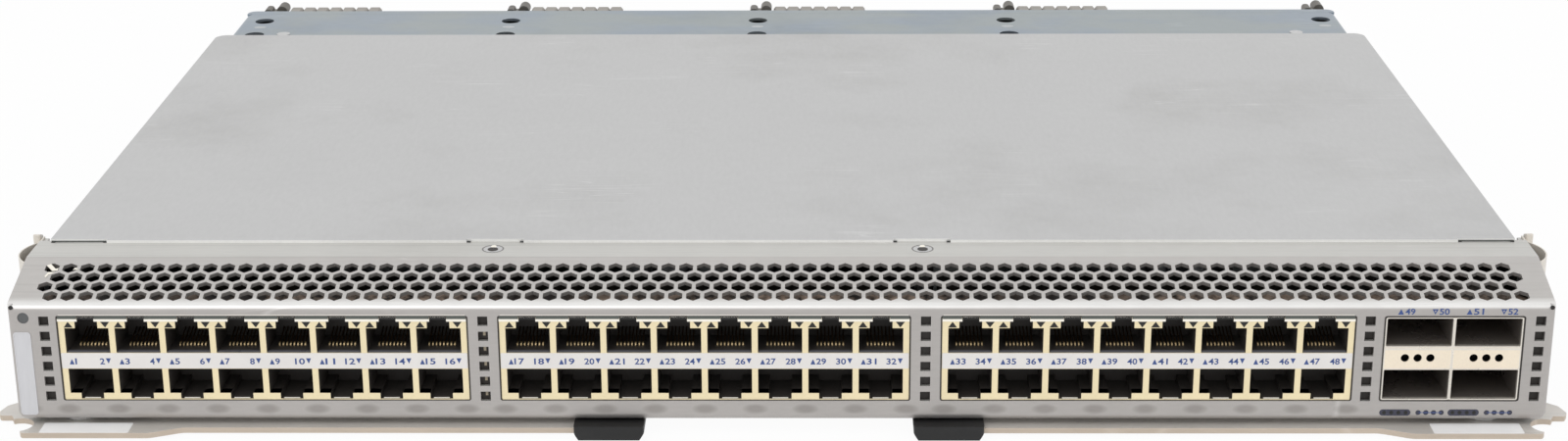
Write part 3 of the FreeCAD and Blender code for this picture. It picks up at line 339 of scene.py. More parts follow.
# ---- shader helpers
class Tree:
    """Small wrapper that adds and links nodes."""

    def __init__(self, tree):
        self.tree = tree

    def add(self, kind, sockets=None, **settings):
        node = self.tree.nodes.new("ShaderNode" + kind)
        for key, value in settings.items():
            setattr(node, key, value)
        for key, value in (sockets or {}).items():
            self.feed(node.inputs[key], value)
        return node

    def feed(self, socket, value):
        if isinstance(value, bpy.types.NodeSocket):
            self.tree.links.new(value, socket)
        else:
            socket.default_value = value

    def math(self, operation, a, b=0.0):
        return self.add("Math", {0: a, 1: b}, operation=operation).outputs[0]

    def times(self, result, *others):
        for other in others:
            result = self.math("MULTIPLY", result, other)
        return result

    def ramp(self, value, low, high, to_low=0.0, to_high=1.0):
        node = self.add("MapRange", {"Value": value, "From Min": low, "From Max": high,
                                               "To Min": to_low, "To Max": to_high})
        return node.outputs["Result"]

    def mix(self, mask, a, b, blend="MIX"):
        node = self.add("Mix", data_type="RGBA", blend_type=blend)
        self.feed(node.inputs[0], mask)
        for n, value in ((6, a), (7, b)):
            self.feed(node.inputs[n], value if isinstance(value, bpy.types.NodeSocket) else (*value, 1))
        return node.outputs[2]

    def stain(self, mask, body, tint, blend="MULTIPLY"):
        """Multiplies or adds a tint where the mask is."""
        return self.mix(mask, body, self.mix(1.0, body, tint, blend))

    def noise(self, vector, scale, detail=3.0, rough=0.5):
        node = self.add("TexNoise", {"Vector": vector, "Scale": scale, "Detail": detail,
                                               "Roughness": rough})
        return node.outputs["Fac"]

    def coords(self):
        return self.add("TexCoord").outputs["Object"]

    def place(self, scale=(1, 1, 1)):
        return self.add("Mapping", {"Vector": self.coords(), "Scale": scale}).outputs["Vector"]

    def position(self):
        """X, Y and Z of the place on the card."""
        return self.add("SeparateXYZ", {0: self.coords()}).outputs

    def facing(self):
        """X, Y and Z of the surface's own direction."""
        normal = self.add("NewGeometry").outputs["Normal"]
        return self.add("SeparateXYZ", {0: normal}).outputs

    def in_view(self):
        """1 for rays from the camera and what it sees mirrored, 0 for light that falls on things."""
        path = self.add("LightPath").outputs
        seen = self.math("MAXIMUM", path["Is Camera Ray"], path["Is Glossy Ray"])
        return self.math("MAXIMUM", seen, path["Is Transmission Ray"])

    def bump(self, height, strength, distance):
        node = self.add("Bump", {"Height": height, "Strength": strength, "Distance": distance})
        self.feed(self.shader.inputs["Normal"], node.outputs["Normal"])

    def surface(self, colour, rough):
        self.feed(self.shader.inputs["Base Color"], colour)
        self.feed(self.shader.inputs["Roughness"], rough)


def new_group(name, inputs, outputs):
    """Node group with named sockets: (tree, what it is given, what it gives back)."""
    group = bpy.data.node_groups.new(name, "ShaderNodeTree")
    for label, kind, value in inputs:
        socket = group.interface.new_socket(label, in_out="INPUT", socket_type="NodeSocket" + kind)
        socket.default_value = value
    for label in outputs:
        group.interface.new_socket(label, in_out="OUTPUT", socket_type="NodeSocketFloat")
    given, out = group.nodes.new("NodeGroupInput"), group.nodes.new("NodeGroupOutput")
    return Tree(group), given.outputs, out.inputs


def make_rolled_grain():
    """Fine rolling grain of sheet metal, and the soft mottling under it."""
    t, given, out = new_group("rolled_grain", [("Scale", "Float", 900.0), ("Stretch", "Vector", (1, 1, 1))],
                              ["Grain", "Mottle"])
    coords = t.coords()
    along = t.add("VectorMath", {0: coords, 1: given["Stretch"]}, operation="MULTIPLY")
    t.feed(out["Grain"], t.noise(along.outputs["Vector"], given["Scale"], 4.0, 0.6))
    t.feed(out["Mottle"], t.noise(coords, t.times(given["Scale"], 0.05), 4.0, 0.55))


def make_handling_marks():
    """Smudges from hands and thin scratches from racks and benches."""
    t, given, out = new_group("handling_marks", [("Smudge Scale", "Float", 14.0),
                                                 ("Scratch Scale", "Float", 60.0),
                                                 ("Amount", "Float", 0.5)], ["Smudge", "Scratch"])
    coords = t.place()
    broad = t.ramp(t.noise(coords, given["Smudge Scale"], 5.0, 0.6), 0.52, 0.72)
    break_up = t.noise(coords, t.times(given["Smudge Scale"], 6.0), 3.0, 0.7)
    t.feed(out["Smudge"], t.times(broad, break_up, given["Amount"]))
    lines = []
    for turn, offset in ((0.5, 3.1), (-0.9, 7.7), (1.35, 1.3)):
        vector = t.add("Mapping", {"Vector": coords, "Rotation": (0.1, offset, turn),
                                             "Scale": (0.12, 3.0, 0.12)}).outputs["Vector"]
        field = t.noise(vector, given["Scratch Scale"], 2.0, 0.4)
        near = t.math("ABSOLUTE", t.math("SUBTRACT", field, 0.5))
        lines.append(t.ramp(near, 0.0, 0.006, 1.0, 0.0))
    both = t.math("MAXIMUM", t.math("MAXIMUM", lines[0], lines[1]), lines[2])
    patch = t.ramp(t.noise(coords, 25.0, 2.0, 0.5), 0.56, 0.66)
    t.feed(out["Scratch"], t.times(both, patch, given["Amount"]))


def make_rubbed_edges():
    """Brighter metal along edges and folds."""
    t, given, out = new_group("rubbed_edges", [("Radius", "Float", 0.0004), ("Amount", "Float", 0.5)],
                              ["Mask"])
    round_normal = t.add("Bevel", {"Radius": given["Radius"]}, samples=4).outputs["Normal"]
    flat = t.add("NewGeometry").outputs["Normal"]
    turn = t.add("VectorMath", {0: round_normal, 1: flat}, operation="DOT_PRODUCT").outputs["Value"]
    worn = t.ramp(t.noise(t.place(), 260.0, 3.0, 0.6), 0.3, 0.6, 0.4, 1.0)
    t.feed(out["Mask"], t.times(t.ramp(turn, 0.98, 0.8), worn, given["Amount"]))


def make_set_back():
    """Mask of what lies further back than a plane across Y, for the painted shade inside the mouths."""
    t, given, out = new_group("depth_shade", [("Plane", "Float", 0.0), ("Blend", "Float", 0.0008)], ["Mask"])
    far = t.math("ADD", given["Plane"], given["Blend"])
    t.feed(out["Mask"], t.ramp(t.position()["Y"], given["Plane"], far))


def effect(t, name, **values):
    """Places one of the shared effects in a material."""
    node = t.add("Group")
    node.node_tree = bpy.data.node_groups[name]
    for key, value in values.items():
        t.feed(node.inputs[key.replace("_", " ").title()], value)
    return node.outputs


def new_material(name):
    """Tree of a new material, with its Principled shader and its output."""
    material = bpy.data.materials.get(name)
    if material:
        bpy.data.materials.remove(material)
    material = bpy.data.materials.new(name)
    material.use_nodes = True
    material.node_tree.nodes.clear()
    material.diffuse_color = (0.5, 0.5, 0.5, 1)
    t = Tree(material.node_tree)
    t.shader = t.add("BsdfPrincipled")
    t.out = t.add("OutputMaterial", {"Surface": t.shader.outputs["BSDF"]})
    return t


def sheet_metal(name, base, rough, metallic, grain, marks, rub, contrast, stretch=(1, 1, 1)):
    """Plated or rolled sheet: grain, mottling, smudges, scratches and rubbed edges.

    base is a colour, or a function that works one out from the tree."""
    t = new_material(name)
    rolled = effect(t, "rolled_grain", scale=grain, stretch=stretch)
    hands = effect(t, "handling_marks", amount=marks)
    edges = effect(t, "rubbed_edges", amount=rub)
    body = base(t) if callable(base) else base
    low, high = 1 - 2 * contrast, 1 + contrast
    body = t.mix(1.0, body, t.mix(rolled["Mottle"], (low,) * 3, (high,) * 3), "MULTIPLY")
    body = t.stain(t.ramp(rolled["Grain"], 0.3, 0.7, 0, 0.3), body, (0.84,) * 3)
    body = t.stain(hands["Smudge"], body, (0.68, 0.67, 0.65))
    body = t.stain(hands["Scratch"], body, (0.2,) * 3, "ADD")
    body = t.stain(edges["Mask"], body, (0.12,) * 3, "ADD")
    t.surface(body, t.math("ADD", t.ramp(rolled["Mottle"], 0, 1, rough - 0.06, rough + 0.06),
                           t.times(hands["Smudge"], 0.15)))
    t.shader.inputs["Metallic"].default_value = metallic
    t.bump(t.math("SUBTRACT", rolled["Grain"], hands["Scratch"]), 0.03, 0.0005)


def moulding(name, base, rough, grain, dust):
    """Moulded plastic with a fine texture and a trace of dust."""
    t = new_material(name)
    rolled = effect(t, "rolled_grain", scale=grain)
    hands = effect(t, "handling_marks", smudge_scale=40.0, amount=dust)
    body = t.mix(rolled["Mottle"], [c * 0.8 for c in base], [c * 1.15 for c in base])
    body = t.mix(hands["Smudge"], body, [c * 0.6 + 0.12 for c in base])
    t.surface(body, t.ramp(rolled["Mottle"], 0, 1, rough - 0.07, rough + 0.07))
    t.bump(rolled["Grain"], 0.05, 0.0004)


def film(name, base, rough):
    """Printed film or ink: nearly even, with a faint fibre."""
    t = new_material(name)
    rolled = effect(t, "rolled_grain", scale=3000.0)
    body = t.mix(rolled["Mottle"], [c * 0.94 for c in base], [min(1, c * 1.04) for c in base])
    t.surface(body, t.ramp(rolled["Grain"], 0, 1, rough - 0.05, rough + 0.05))


# ---- colours that change over a piece
def dark_inside(base, depth, dark, blend=0.8):
    """Painted shade: colour that turns dark from some millimetres behind the front plate."""
    plane = (front_plane() + depth) * MM
    return lambda t: t.mix(effect(t, "depth_shade", plane=plane, blend=blend * MM)["Mask"], base, dark)


def front_colours(t):
    """Upright plate, with the sloping hood and flat flange painted in lighter tones for the light they
    catch, a painted highlight along the fold, faint scuffs and painted shade spots.
    """
    c = finishes()
    facing, place = t.facing(), t.position()
    up = facing["Z"]
    # Painted light: faces that look up get the lighter hood and flange tones.
    body = t.mix(t.ramp(up, 0.5, 0.9), c.face, c.slope)
    body = t.mix(t.ramp(up, 0.97, 0.995), body, c.flange)
    streaks = t.ramp(t.noise(t.place(scale=(4, 900, 900)), 1.0, 2.0, 0.5), 0.56, 0.66, 0, 0.35)
    body = t.stain(t.times(streaks, t.ramp(up, 0.9, 0.99)), body, (0.72, 0.72, 0.71))
    body = t.stain(t.times(finger_spots(t), t.ramp(up, 0.5, 0.1)), body, (0.74, 0.73, 0.72))
    # Painted highlight in a band along the fold between plate and hood.
    fold = hood_foot() * MM
    fold_highlight_mask = t.times(t.ramp(place["Z"], fold - 0.7 * MM, fold - 0.1 * MM),
                   t.ramp(place["Z"], fold + 1.3 * MM, fold + 0.5 * MM),
                   t.ramp(t.math("ABSOLUTE", facing["X"]), 0.5, 0.2))
    return t.mix(fold_highlight_mask, body, c.fold)


def finger_spots(t):
    """Painted soft shade spots in the plate under each wall of the jack blocks."""
    low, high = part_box("jack_shield_1")
    pitch = bpy.context.scene.card_details.pitch
    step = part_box("jack_shield_2")[0].x - low.x
    start = (low.x + high.x) / 2 - (COLUMNS + 1) / 2 * pitch
    place = t.position()
    along = t.math("FLOORED_MODULO", t.math("SUBTRACT", place["X"], start), step)
    inside = t.ramp(along, (COLUMNS + 1) * pitch, (COLUMNS + 1.05) * pitch, 1, 0)
    side = t.math("ABSOLUTE", t.math("SUBTRACT", t.math("FLOORED_MODULO", along, pitch), pitch / 2))
    rise = t.math("ABSOLUTE", t.math("SUBTRACT", place["Z"], low.z - 2.7 * MM))
    reach = t.math("ADD", t.math("POWER", t.math("DIVIDE", side, 3.7 * MM), 2.0),
                   t.math("POWER", t.math("DIVIDE", rise, 1.6 * MM), 2.0))
    within = t.math("LESS_THAN", place["X"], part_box("jack_shield_3")[1].x + pitch / 4)
    return t.times(t.ramp(reach, 0.2, 1.1, 1, 0), inside, within)


def lever_colours(t):
    """Flat of the stamping lightened against the shade under the plate, and its edges in a beige painted
    reflection tone.
    """
    flat = t.ramp(t.math("ABSOLUTE", t.facing()["Z"]), 0.75, 0.95)
    return t.mix(flat, tone(204, 190, 174), finishes().lever)


def cover_colours(t):
    """Painted highlight on the front-facing edge of the cover."""
    return t.mix(t.ramp(t.facing()["Y"], -0.5, -0.8), finishes().cover, finishes().cut_edge)


def tray_colours(t):
    """Galvanised sheet, with painted shade on the faces of the walls that look inwards."""
    inwards = t.times(t.facing()["X"], t.math("SIGN", t.position()["X"]))
    return t.mix(t.ramp(inwards, -0.3, -0.7), finishes().tray, tone(84, 82, 80))


def dusty_colours(t):
    """Patches of brown dust over dark painted shade."""
    patches = t.ramp(t.noise(t.place(), 240.0, 4.0, 0.6), 0.42, 0.62)
    drifts = t.ramp(t.noise(t.place(), 22.0, 2.0, 0.5), 0.35, 0.6, 0.1, 1.0)
    return t.mix(t.times(patches, drifts), tone(40, 34, 31), tone(176, 156, 140))


def zinc_colours(t):
    """Cloudy zinc with bluish and greenish patches, and a painted reflection along the cover's rear edge."""
    tints = ((1.06, 1.06, 1.02), (0.94, 0.99, 1.08))
    green, blue = ([b * k for b, k in zip(finishes().zinc, tint)] for tint in tints)
    cloud = t.noise(t.place(scale=(1, 2, 1)), 28.0, 3.0, 0.5)
    sheet = t.mix(t.ramp(cloud, 0.42, 0.62), green, blue)
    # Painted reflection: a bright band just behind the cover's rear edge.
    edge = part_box("top_cover")[1].y
    line = t.ramp(t.position()["Y"], edge + 2.0 * MM, edge + 2.6 * MM, 0.7, 0.0)
    return t.mix(line, sheet, tone(214, 220, 224))


# ---- operators
class CARD_OT_finishes(Operator):
    """Make the shared effects and the materials"""
    bl_idname = "card.finishes"
    bl_label = "Finishes"

    def execute(self, context):
        c = finishes()
        make_rolled_grain()
        make_handling_marks()
        make_rubbed_edges()
        make_set_back()
        tips = box("jack_contacts_1")[0].y - front_plane() + 0.6
        marks, rub = c.marks, c.rub
        for row in (
            # name, colour, roughness, metallic, grain, marks, rubbed edges, mottling, stretch of the grain
            ("front_sheet", front_colours, 0.42, 0.6, 1100, marks, rub, 0.05, (0.15, 1, 1)),
            ("cover_sheet", cover_colours, 0.5, 0.5, 700, marks, rub, 0.03, (1, 0.3, 1)),
            ("tray_sheet", tray_colours, 0.42, 0.7, 700, marks, rub, 0.06, (1, 0.2, 1)),
            ("zinc_sheet", zinc_colours, 0.34, 0.75, 300, marks, rub, 0.06),
            # Painted shade deep in the jacks, the cage, the dividers and behind the contact tips.
            ("jack_plating", dark_inside(c.cream, 0.35, tone(52, 48, 42), 0.3), 0.34, 0.6, 1500,
             0.15, 0.3, 0.04),
            ("bright_plating_and_glint", tone(255, 250, 238), 0.3, 0.5, 1500, 0.1, 0.3, 0.03),
            ("cage_plating", dark_inside(c.cage, 0.9, tone(142, 134, 128)), 0.28, 0.6, 1500, 0.2, 0.3, 0.05),
            ("divider_plating", dark_inside(c.divider, 0.4, tone(10, 9, 9), 0.2), 0.4, 0.5, 1500,
             0.15, 0.3, 0.03),
            ("lever_steel", lever_colours, 0.4, 0.35, 900, marks, 0.7, 0.06, (0.1, 1, 1)),
            ("spring_steel", tone(232, 226, 216), 0.4, 0.25, 900, 0.3, 0.6, 0.08, (1, 0.2, 1)),
            ("fastener_steel", tone(196, 196, 196), 0.28, 0.9, 1800, 0.3, 0.5, 0.05),
            ("sink_aluminium", tone(200, 201, 204), 0.4, 0.9, 900, 0.2, 0.4, 0.05, (1, 0.1, 1)),
            ("die_casting", tone(112, 108, 102), 0.45, 0.7, 500, 0.4, 0.6, 0.12),
            ("gold_plating", dark_inside(c.gold, tips, tone(70, 50, 26), 0.5), 0.34, 0.6, 2000,
             0.1, 0.2, 0.05),
            ("bare_plate", c.plate, 0.36, 0.6, 1600, 0.15, 0.5, 0.03, (1, 1, 0.1)),
            ("weld_mark", tone(190, 194, 196), 0.5, 0.4, 900, 0.3, 0.3, 0.04),
            ("dusty_painted_shade", dusty_colours, 0.6, 0.3, 900, 0.6, 0.3, 0.1),
        ):
            sheet_metal(*row)
        for row in (
            # name, colour, roughness, grain, dust
            ("jack_plastic", c.plastic, 0.42, 2500, 0.15),
            ("grip_plastic", c.grip, 0.55, 1800, 0.2),
            ("connector_plastic", tone(66, 66, 68), 0.55, 1800, 0.3),
            ("connector_top", tone(158, 153, 146), 0.5, 1800, 0.3),
            ("ring_shadow", tone(122, 120, 118), 0.5, 1800, 0.1),
            # Pale patch standing in for a lit wall.
            ("lit_wall_patch", tone(176, 164, 142), 0.5, 1800, 0.1),
            ("shelf_plastic", tone(96, 96, 102), 0.3, 1800, 0.1),
            ("finger_shadow", tone(84, 88, 84), 0.35, 1800, 0.1),
            ("chip_plastic", tone(36, 36, 38), 0.45, 2200, 0.1),
            ("painted_shade", tone(44, 39, 36), 0.6, 2200, 0.3),
            # Also used for painted shade in relief holes and notch ends.
            ("black_window_and_shade", tone(16, 15, 14), 0.4, 2200, 0.05),
            ("lamp_moulding", c.lamp, 0.25, 2200, 0.05),
            ("status_window", tone(92, 94, 95), 0.45, 2600, 0.1),
            ("board_mask", c.board, 0.35, 600, 0.1),
        ):
            moulding(*row)
        film("strip_film", c.strip, 0.45)
        film("label_paper", c.label, 0.55)
        film("number_ink", c.ink, 0.5)
        return {"FINISHED"}


class CARD_OT_sheet_parts(Operator):
    """Finish the folded sheet parts and add the bare plate"""
    bl_idname = "card.sheet_parts"
    bl_label = "Sheet parts"

    def execute(self, context):
        finish("front_sheet", "front_bezel")
        finish("cover_sheet", "top_cover")
        finish("tray_sheet", "base_tray")
        finish("zinc_sheet", "rear_bracket")
        finish("spring_steel", "finger_strip_left", "finger_strip_right")
        face, left, foot = front_plane(), front_left(), hood_foot()
        self.bare_plate(face, left)
        self.notch_gaps()
        self.spring_tabs()
        self.vent_shades(face, left)
        self.fold_ends(face, left, foot)
        self.hood_nicks(face, left, foot)
        self.hood_depth(face, foot)
        return {"FINISHED"}

    def bare_plate(self, face, left):
        """Plain plate with a raised rim at the left end of the front."""
        foot = box("base_tray")[0].z
        outer = rounded(left + 1.25, left + 6.1, foot + 1.7, foot + 26.6, 0.9)
        inner = rounded(left + 1.5, left + 5.85, foot + 1.95, foot + 26.35, 0.7)
        bm = bmesh.new()
        hoop_into(bm, outer, inner, face - 0.22, face)
        prism_into(bm, inner, face - 0.1, face)
        piece("bare_plate", bm, "bare_plate", 0.05)

    def vent_shades(self, face, left):
        """Dark plates standing in for the shade behind the columns of square vents, with pale patches
        standing in for a lit wall past one of them.
        """
        shields = [box("jack_shield_%d" % n) for n in BLOCKS] + [box("uplink_cage")]
        middle = (shields[0][0].z + shields[0][1].z) / 2
        columns = [left + 10.06, -left - 4.1]
        columns += [(a[1].x + b[0].x) / 2 for a, b in zip(shields, shields[1:])]
        shade, light = bmesh.new(), bmesh.new()
        for x in columns:
            box_into(shade, x - 1.9, x + 1.9, face + 1.5, face + 1.7, middle - 13.2, middle + 13.2)
        x = columns[2]
        for n in range(5):
            z = middle + (n - 2.5) * 4.5
            box_into(light, x - 0.15, x + 0.55, face + 1.4, face + 1.5, z - 0.3, z + 1.1)
        piece("vent_shades", shade, "painted_shade")
        piece("lit_wall_patches", light, "lit_wall_patch")

    def hood_depth(self, face, foot):
        """Dark sheet standing in for the shade seen through the two lower rows of the hood's vents, with
        dust patches.
        """
        half = 209.0
        bm = bmesh.new()
        for v in box_into(bm, -half, half, face + 3.2, face + 9.6, foot - 2.6, foot - 2.5):
            v.co.z += (v.co.y - face) * HOOD_RISE
        piece("hood_depth", bm, "dusty_painted_shade")

    def fold_ends(self, face, left, foot):
        """Painted shade in the relief holes at both ends of the fold between plate and hood."""
        bm = bmesh.new()
        for x in (left + 1.3, -left - 1.3):
            prism_into(bm, disc(x, foot - 0.2, 0.6, 12), face - 0.06, face + 0.3)
        piece("fold_ends", bm, "black_window_and_shade")

    def hood_nicks(self, face, left, foot):
        """Near-white patches at the first vents of the hood's left end."""
        bm = bmesh.new()
        for outline in HOOD_PATCHES:
            loft(bm, [[(left + x, face + y, foot + y * HOOD_RISE + lift) for x, y in outline]
                      for lift in (0.05, 0.14)])
        piece("hood_nicks", bm, "bright_plating_and_glint")

    def notch_gaps(self):
        """Painted shadow under the cover's edge in its notches, deeper at the notches' ends."""
        low, high = box("top_cover")
        first, last = box("hood_screws")
        deck = box("front_bezel")[1].z
        y, width = low.y + 1.0, 16.4
        spans = [(low.x + 0.3, low.x + width), (high.x - width, high.x - 0.3)]
        spans += [(x - width / 2, x + width / 2) for x in (first.x + 2.7, last.x - 2.7)]
        lines, ends = bmesh.new(), bmesh.new()
        for x0, x1 in spans[:2]:
            box_into(lines, x0, x1, y - 0.25, y, deck, deck + 0.32)
        for x0, x1 in spans:
            for x in (x0, x1 - 1.1):
                box_into(ends, x, x + 1.1, y - 0.75, y, deck, deck + 0.2)
        piece("notch_gaps", lines, "finger_shadow")
        piece("notch_end_shadows", ends, "black_window_and_shade")

    def spring_tabs(self):
        """Short bent tab at the rear end of each spring strip."""
        drop = 1.2
        for side, way in SIDES:
            _, high = box("finger_strip_" + side)
            x0, x1 = sorted((way * 214.6, way * 216.8))
            bm = bmesh.new()
            for v in box_into(bm, x0, x1, high.y - 1.5, high.y + 1.8, high.z - 4.5, high.z + drop):
                if v.co.y > high.y and v.co.z > high.z:
                    v.co.z -= drop
            piece("spring_tab_" + side, bm, "spring_steel", 0.5)


class CARD_OT_jacks(Operator):
    """Finish the jack blocks and add contact wires, lamp windows and spring strips"""
    bl_idname = "card.jacks"
    bl_label = "Jack blocks"

    def execute(self, context):
        for block in BLOCKS:
            finish("jack_plating", "jack_shield_%d" % block)
            finish("jack_plastic", "jack_housing_%d" % block)
            low, high = box("jack_shield_%d" % block)
            centres = jack_centres(low, high)
            self.wires(block, centres)
            self.windows(block, centres, low, high)
            self.strips(block, centres, low, high)
        return {"FINISHED"}

    def wires(self, block, centres):
        """Thin sprung wires in place of each jack's plain contact bar."""
        size = details()
        low, high = box("jack_contacts_%d" % block)
        middle = (low.z + high.z) / 2
        # Side view: a hooked tip at the mouth and a long rise to the rear, as (y, reach from the root).
        path = ((low.y - 0.1, 2.45), (low.y + 0.25, 2.82), (low.y + 1.0, 3.02), (low.y + 3.5, 3.6),
                (high.y - 1.0, 4.6), (high.y + 0.05, 4.85))
        bm = bmesh.new()
        for x in centres:
            for n in range(size.wires):
                cx = x + (n - (size.wires - 1) / 2) * size.wire_pitch
                for way in (1, -1):
                    ribbon_into(bm, cx, size.wire / 2, [(y, middle + way * z) for y, z in path])
        obj = piece("jack_wires_%d" % block, bm, "gold_plating")
        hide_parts("jack_contacts_%d" % block)

    def windows(self, block, centres, low, high):
        """Dark triangular lamp windows in the plating beside each latch slot."""
        bm = bmesh.new()
        for x in centres:
            for offset, up in ((-5.0, True), (5.3, False)):
                prism_into(bm, triangle(x + offset, high.z - 2.2, 2.5, 1.7, up), low.y - 0.04, low.y)
        piece("lamp_windows_%d" % block, bm, "black_window_and_shade")

    def strips(self, block, centres, low, high):
        """Spring fingers over each wall, painted shadow on the leaning strips above them, and the thin lips
        between them.
        """
        face, foot, top = low.y, low.z, high.z
        pitch = details().pitch
        bright, slope_shadows, shelves, roofs = (bmesh.new() for _ in range(4))
        for n in range(COLUMNS + 1):
            x = centres[0] + (n - 0.5) * pitch
            x0, x1 = max(x - 4.65, low.x), min(x + 4.65, high.x)
            box_into(bright, x0, x1, face - 0.4, face, top - 1.15, top - 0.4)
            wedge_into(slope_shadows, x0 + 0.1, x1 - 0.1, face - 0.38, face - 0.15, top - 0.4, top + 0.5)
            x0, x1 = max(x - 3.8, low.x + 0.85), min(x + 3.8, high.x - 0.85)
            for a, b in ((x0, x - 0.6), (x + 0.6, x1)):
                if b > a:
                    box_into(shelves, a, b, face + 0.35, face + 3.2, foot + 1.85, foot + 2.0)
        for x in centres:
            box_into(bright, x - 2.2, x + 2.2, face - 0.1, face + 0.3, foot + 0.5, foot + 0.72)
            box_into(bright, x - 2.3, x + 2.3, face - 0.17, face, top + 0.02, top + 0.16)
            box_into(roofs, x - 2.35, x + 2.35, face - 0.05, face, top - 0.65, top + 0.02)
            box_into(shelves, x - 5.9, x + 5.9, face + 0.1, face + 1.4, foot + 14.25, foot + 14.5)
        box_into(bright, low.x + 0.3, high.x - 0.3, face - 0.17, face, top + 0.6, top + 0.75)
        piece("spring_fingers_%d" % block, bright, "bright_plating_and_glint", 0.04)
        self.joint(block, low, high)
        piece("latch_roofs_%d" % block, roofs, "black_window_and_shade")
        piece("finger_slope_shadows_%d" % block, slope_shadows, "finger_shadow")
        piece("jack_shelves_%d" % block, shelves, "shelf_plastic", 0.03)

    def joint(self, block, low, high):
        """Painted shadow in the gap between the plate and the block."""
        bm = bmesh.new()
        hoop_into(bm, rounded(low.x - 0.42, high.x + 0.42, low.z - 0.2, high.z + 0.5, 0.6),
                  rounded(low.x + 0.02, high.x - 0.02, low.z + 0.02, high.z + 0.04, 0.3),
                  low.y - 0.17, low.y - 0.13)
        piece("block_gap_shadow_%d" % block, bm, "painted_shade")


class CARD_OT_port_labels(Operator):
    """Add the label strips and the port numbers"""
    bl_idname = "card.port_labels"
    bl_label = "Port labels"

    def execute(self, context):
        size = details()
        for block in BLOCKS:
            low, high = box("jack_shield_%d" % block)
            foot, face = low.z + size.strip_low, low.y - size.film
            bm = bmesh.new()
            strip = rounded(low.x + 0.1, high.x - 0.1, foot, foot + size.strip_height, 0.2, 2)
            prism_into(bm, strip, face, low.y)
            piece("label_strip_%d" % block, bm, "strip_film", 0.03)
            bm = bmesh.new()
            for n, x in enumerate(jack_centres(low, high)):
                port = 1 + 2 * (COLUMNS * (block - 1) + n)
                self.pair(bm, x, face, foot + 2.14 - size.digit / 2, port, size.digit)
            piece("port_numbers_%d" % block, bm, "number_ink")
        return {"FINISHED"}

    def pair(self, bm, x, face, foot, port, digit):
        """Upper port with its arrow at the left, lower port with its arrow at the right."""
        digits_into(bm, port, x - 3.95, face - INK, foot)
        digits_into(bm, port + 1, x + 4.3, face - INK, foot, True)
        for cx, cz, up in ((x - 4.85, foot + 0.8, True), (x + 5.35, foot + digit - 0.8, False)):
            prism_into(bm, triangle(cx, cz, 1.4, 1.6, up), face - INK, face)


class CARD_OT_uplinks(Operator):
    """Finish the uplink cages and add rims, numbers and lamps"""
    bl_idname = "card.uplinks"
    bl_label = "Uplinks"

    def execute(self, context):
        finish("cage_plating", "uplink_cage")
        finish("divider_plating", "uplink_divider_left", "uplink_divider_right")
        finish("jack_plastic", "uplink_connector_left", "uplink_connector_right")
        finish("lamp_moulding", "uplink_light_pipes")
        finish("status_window", "status_light_pipe")
        low, high = box("uplink_cage")
        face = front_plane()
        self.rims(low, high, face)
        self.numbers(low, high, face)
        self.lamps(low, face)
        return {"FINISHED"}

    def rims(self, low, high, face):
        """Rolled bright rims round the four openings, and painted shadow in the gap round the cage."""
        bm = bmesh.new()
        for side, _ in SIDES:
            a, b = box("uplink_divider_" + side)
            for z0, z1 in ((low.z, a.z), (b.z, high.z)):
                hoop_into(bm, rounded(a.x - 0.3, b.x + 0.3, z0 + 0.05, z1 - 0.05, 0.5, 3),
                          rounded(a.x + 0.05, b.x - 0.05, z0 + 0.38, z1 - 0.38, 0.3, 3),
                          low.y - 0.12, low.y + 0.3)
            box_into(bm, a.x, b.x, low.y - 0.1, low.y + 0.1, b.z - 0.75, b.z - 0.1)
        piece("uplink_rims", bm, "cage_plating", 0.05)
        bm = bmesh.new()
        hoop_into(bm, rounded(low.x - 0.4, high.x + 0.4, low.z - 0.3, high.z + 0.4, 0.7),
                  rounded(low.x + 0.02, high.x - 0.02, low.z + 0.05, high.z - 0.02, 0.5), face - 0.04, face)
        piece("uplink_gap_shadow", bm, "painted_shade")

    def numbers(self, low, high, face):
        """Printed arrows and numbers above the cages: full for the upper ports, open for the lower ones."""
        foot = high.z + 0.75
        bm = bmesh.new()
        for n in range(4):
            x, up = low.x + 3.95 + 9.38 * n, n % 2 == 0
            digits_into(bm, FIRST_UPLINK + n, x + 1.15, face - INK, foot)
            arrow = triangle(x, foot + 0.85, 1.65, 1.6, up)
            if up:
                prism_into(bm, arrow, face - INK, face)
            else:
                hoop_into(bm, arrow, triangle(x, foot + 0.97, 0.62, 0.6, up), face - INK, face)
        piece("uplink_numbers", bm, "number_ink")

    def lamps(self, low, face):
        """Dark lamp chips in the clear moulding, and the fine printed line between the round ones."""
        z = box("base_tray")[0].z + 2.47
        chips, line = bmesh.new(), bmesh.new()
        for x in (low.x, low.x + 18.95):
            for n in range(4):
                prism_into(chips, disc(x + 1.35 + 2.0 * n, z, 0.55), face - 0.03, face + 0.3)
            box_into(line, x + 11.0, x + 17.2, face - 0.015, face, z - 0.12, z + 0.12)
        piece("lamp_chips", chips, "black_window_and_shade")
        piece("lamp_line", line, "number_ink")


class CARD_OT_board(Operator):
    """Finish the board, its chips, heat sinks and power bricks"""
    bl_idname = "card.board"
    bl_label = "Board"

    def execute(self, context):
        finish("board_mask", "main_board")
        finish("chip_plastic", *("phy_chip_%d" % n for n in BLOCKS), "switch_chip")
        finish("chip_plastic", "power_brick_left", "power_brick_right")
        finish("sink_aluminium", *("phy_heat_sink_%d" % n for n in BLOCKS), "switch_heat_sink")
        finish("fastener_steel", "board_standoffs", "board_screws", "hood_posts")
        return {"FINISHED"}


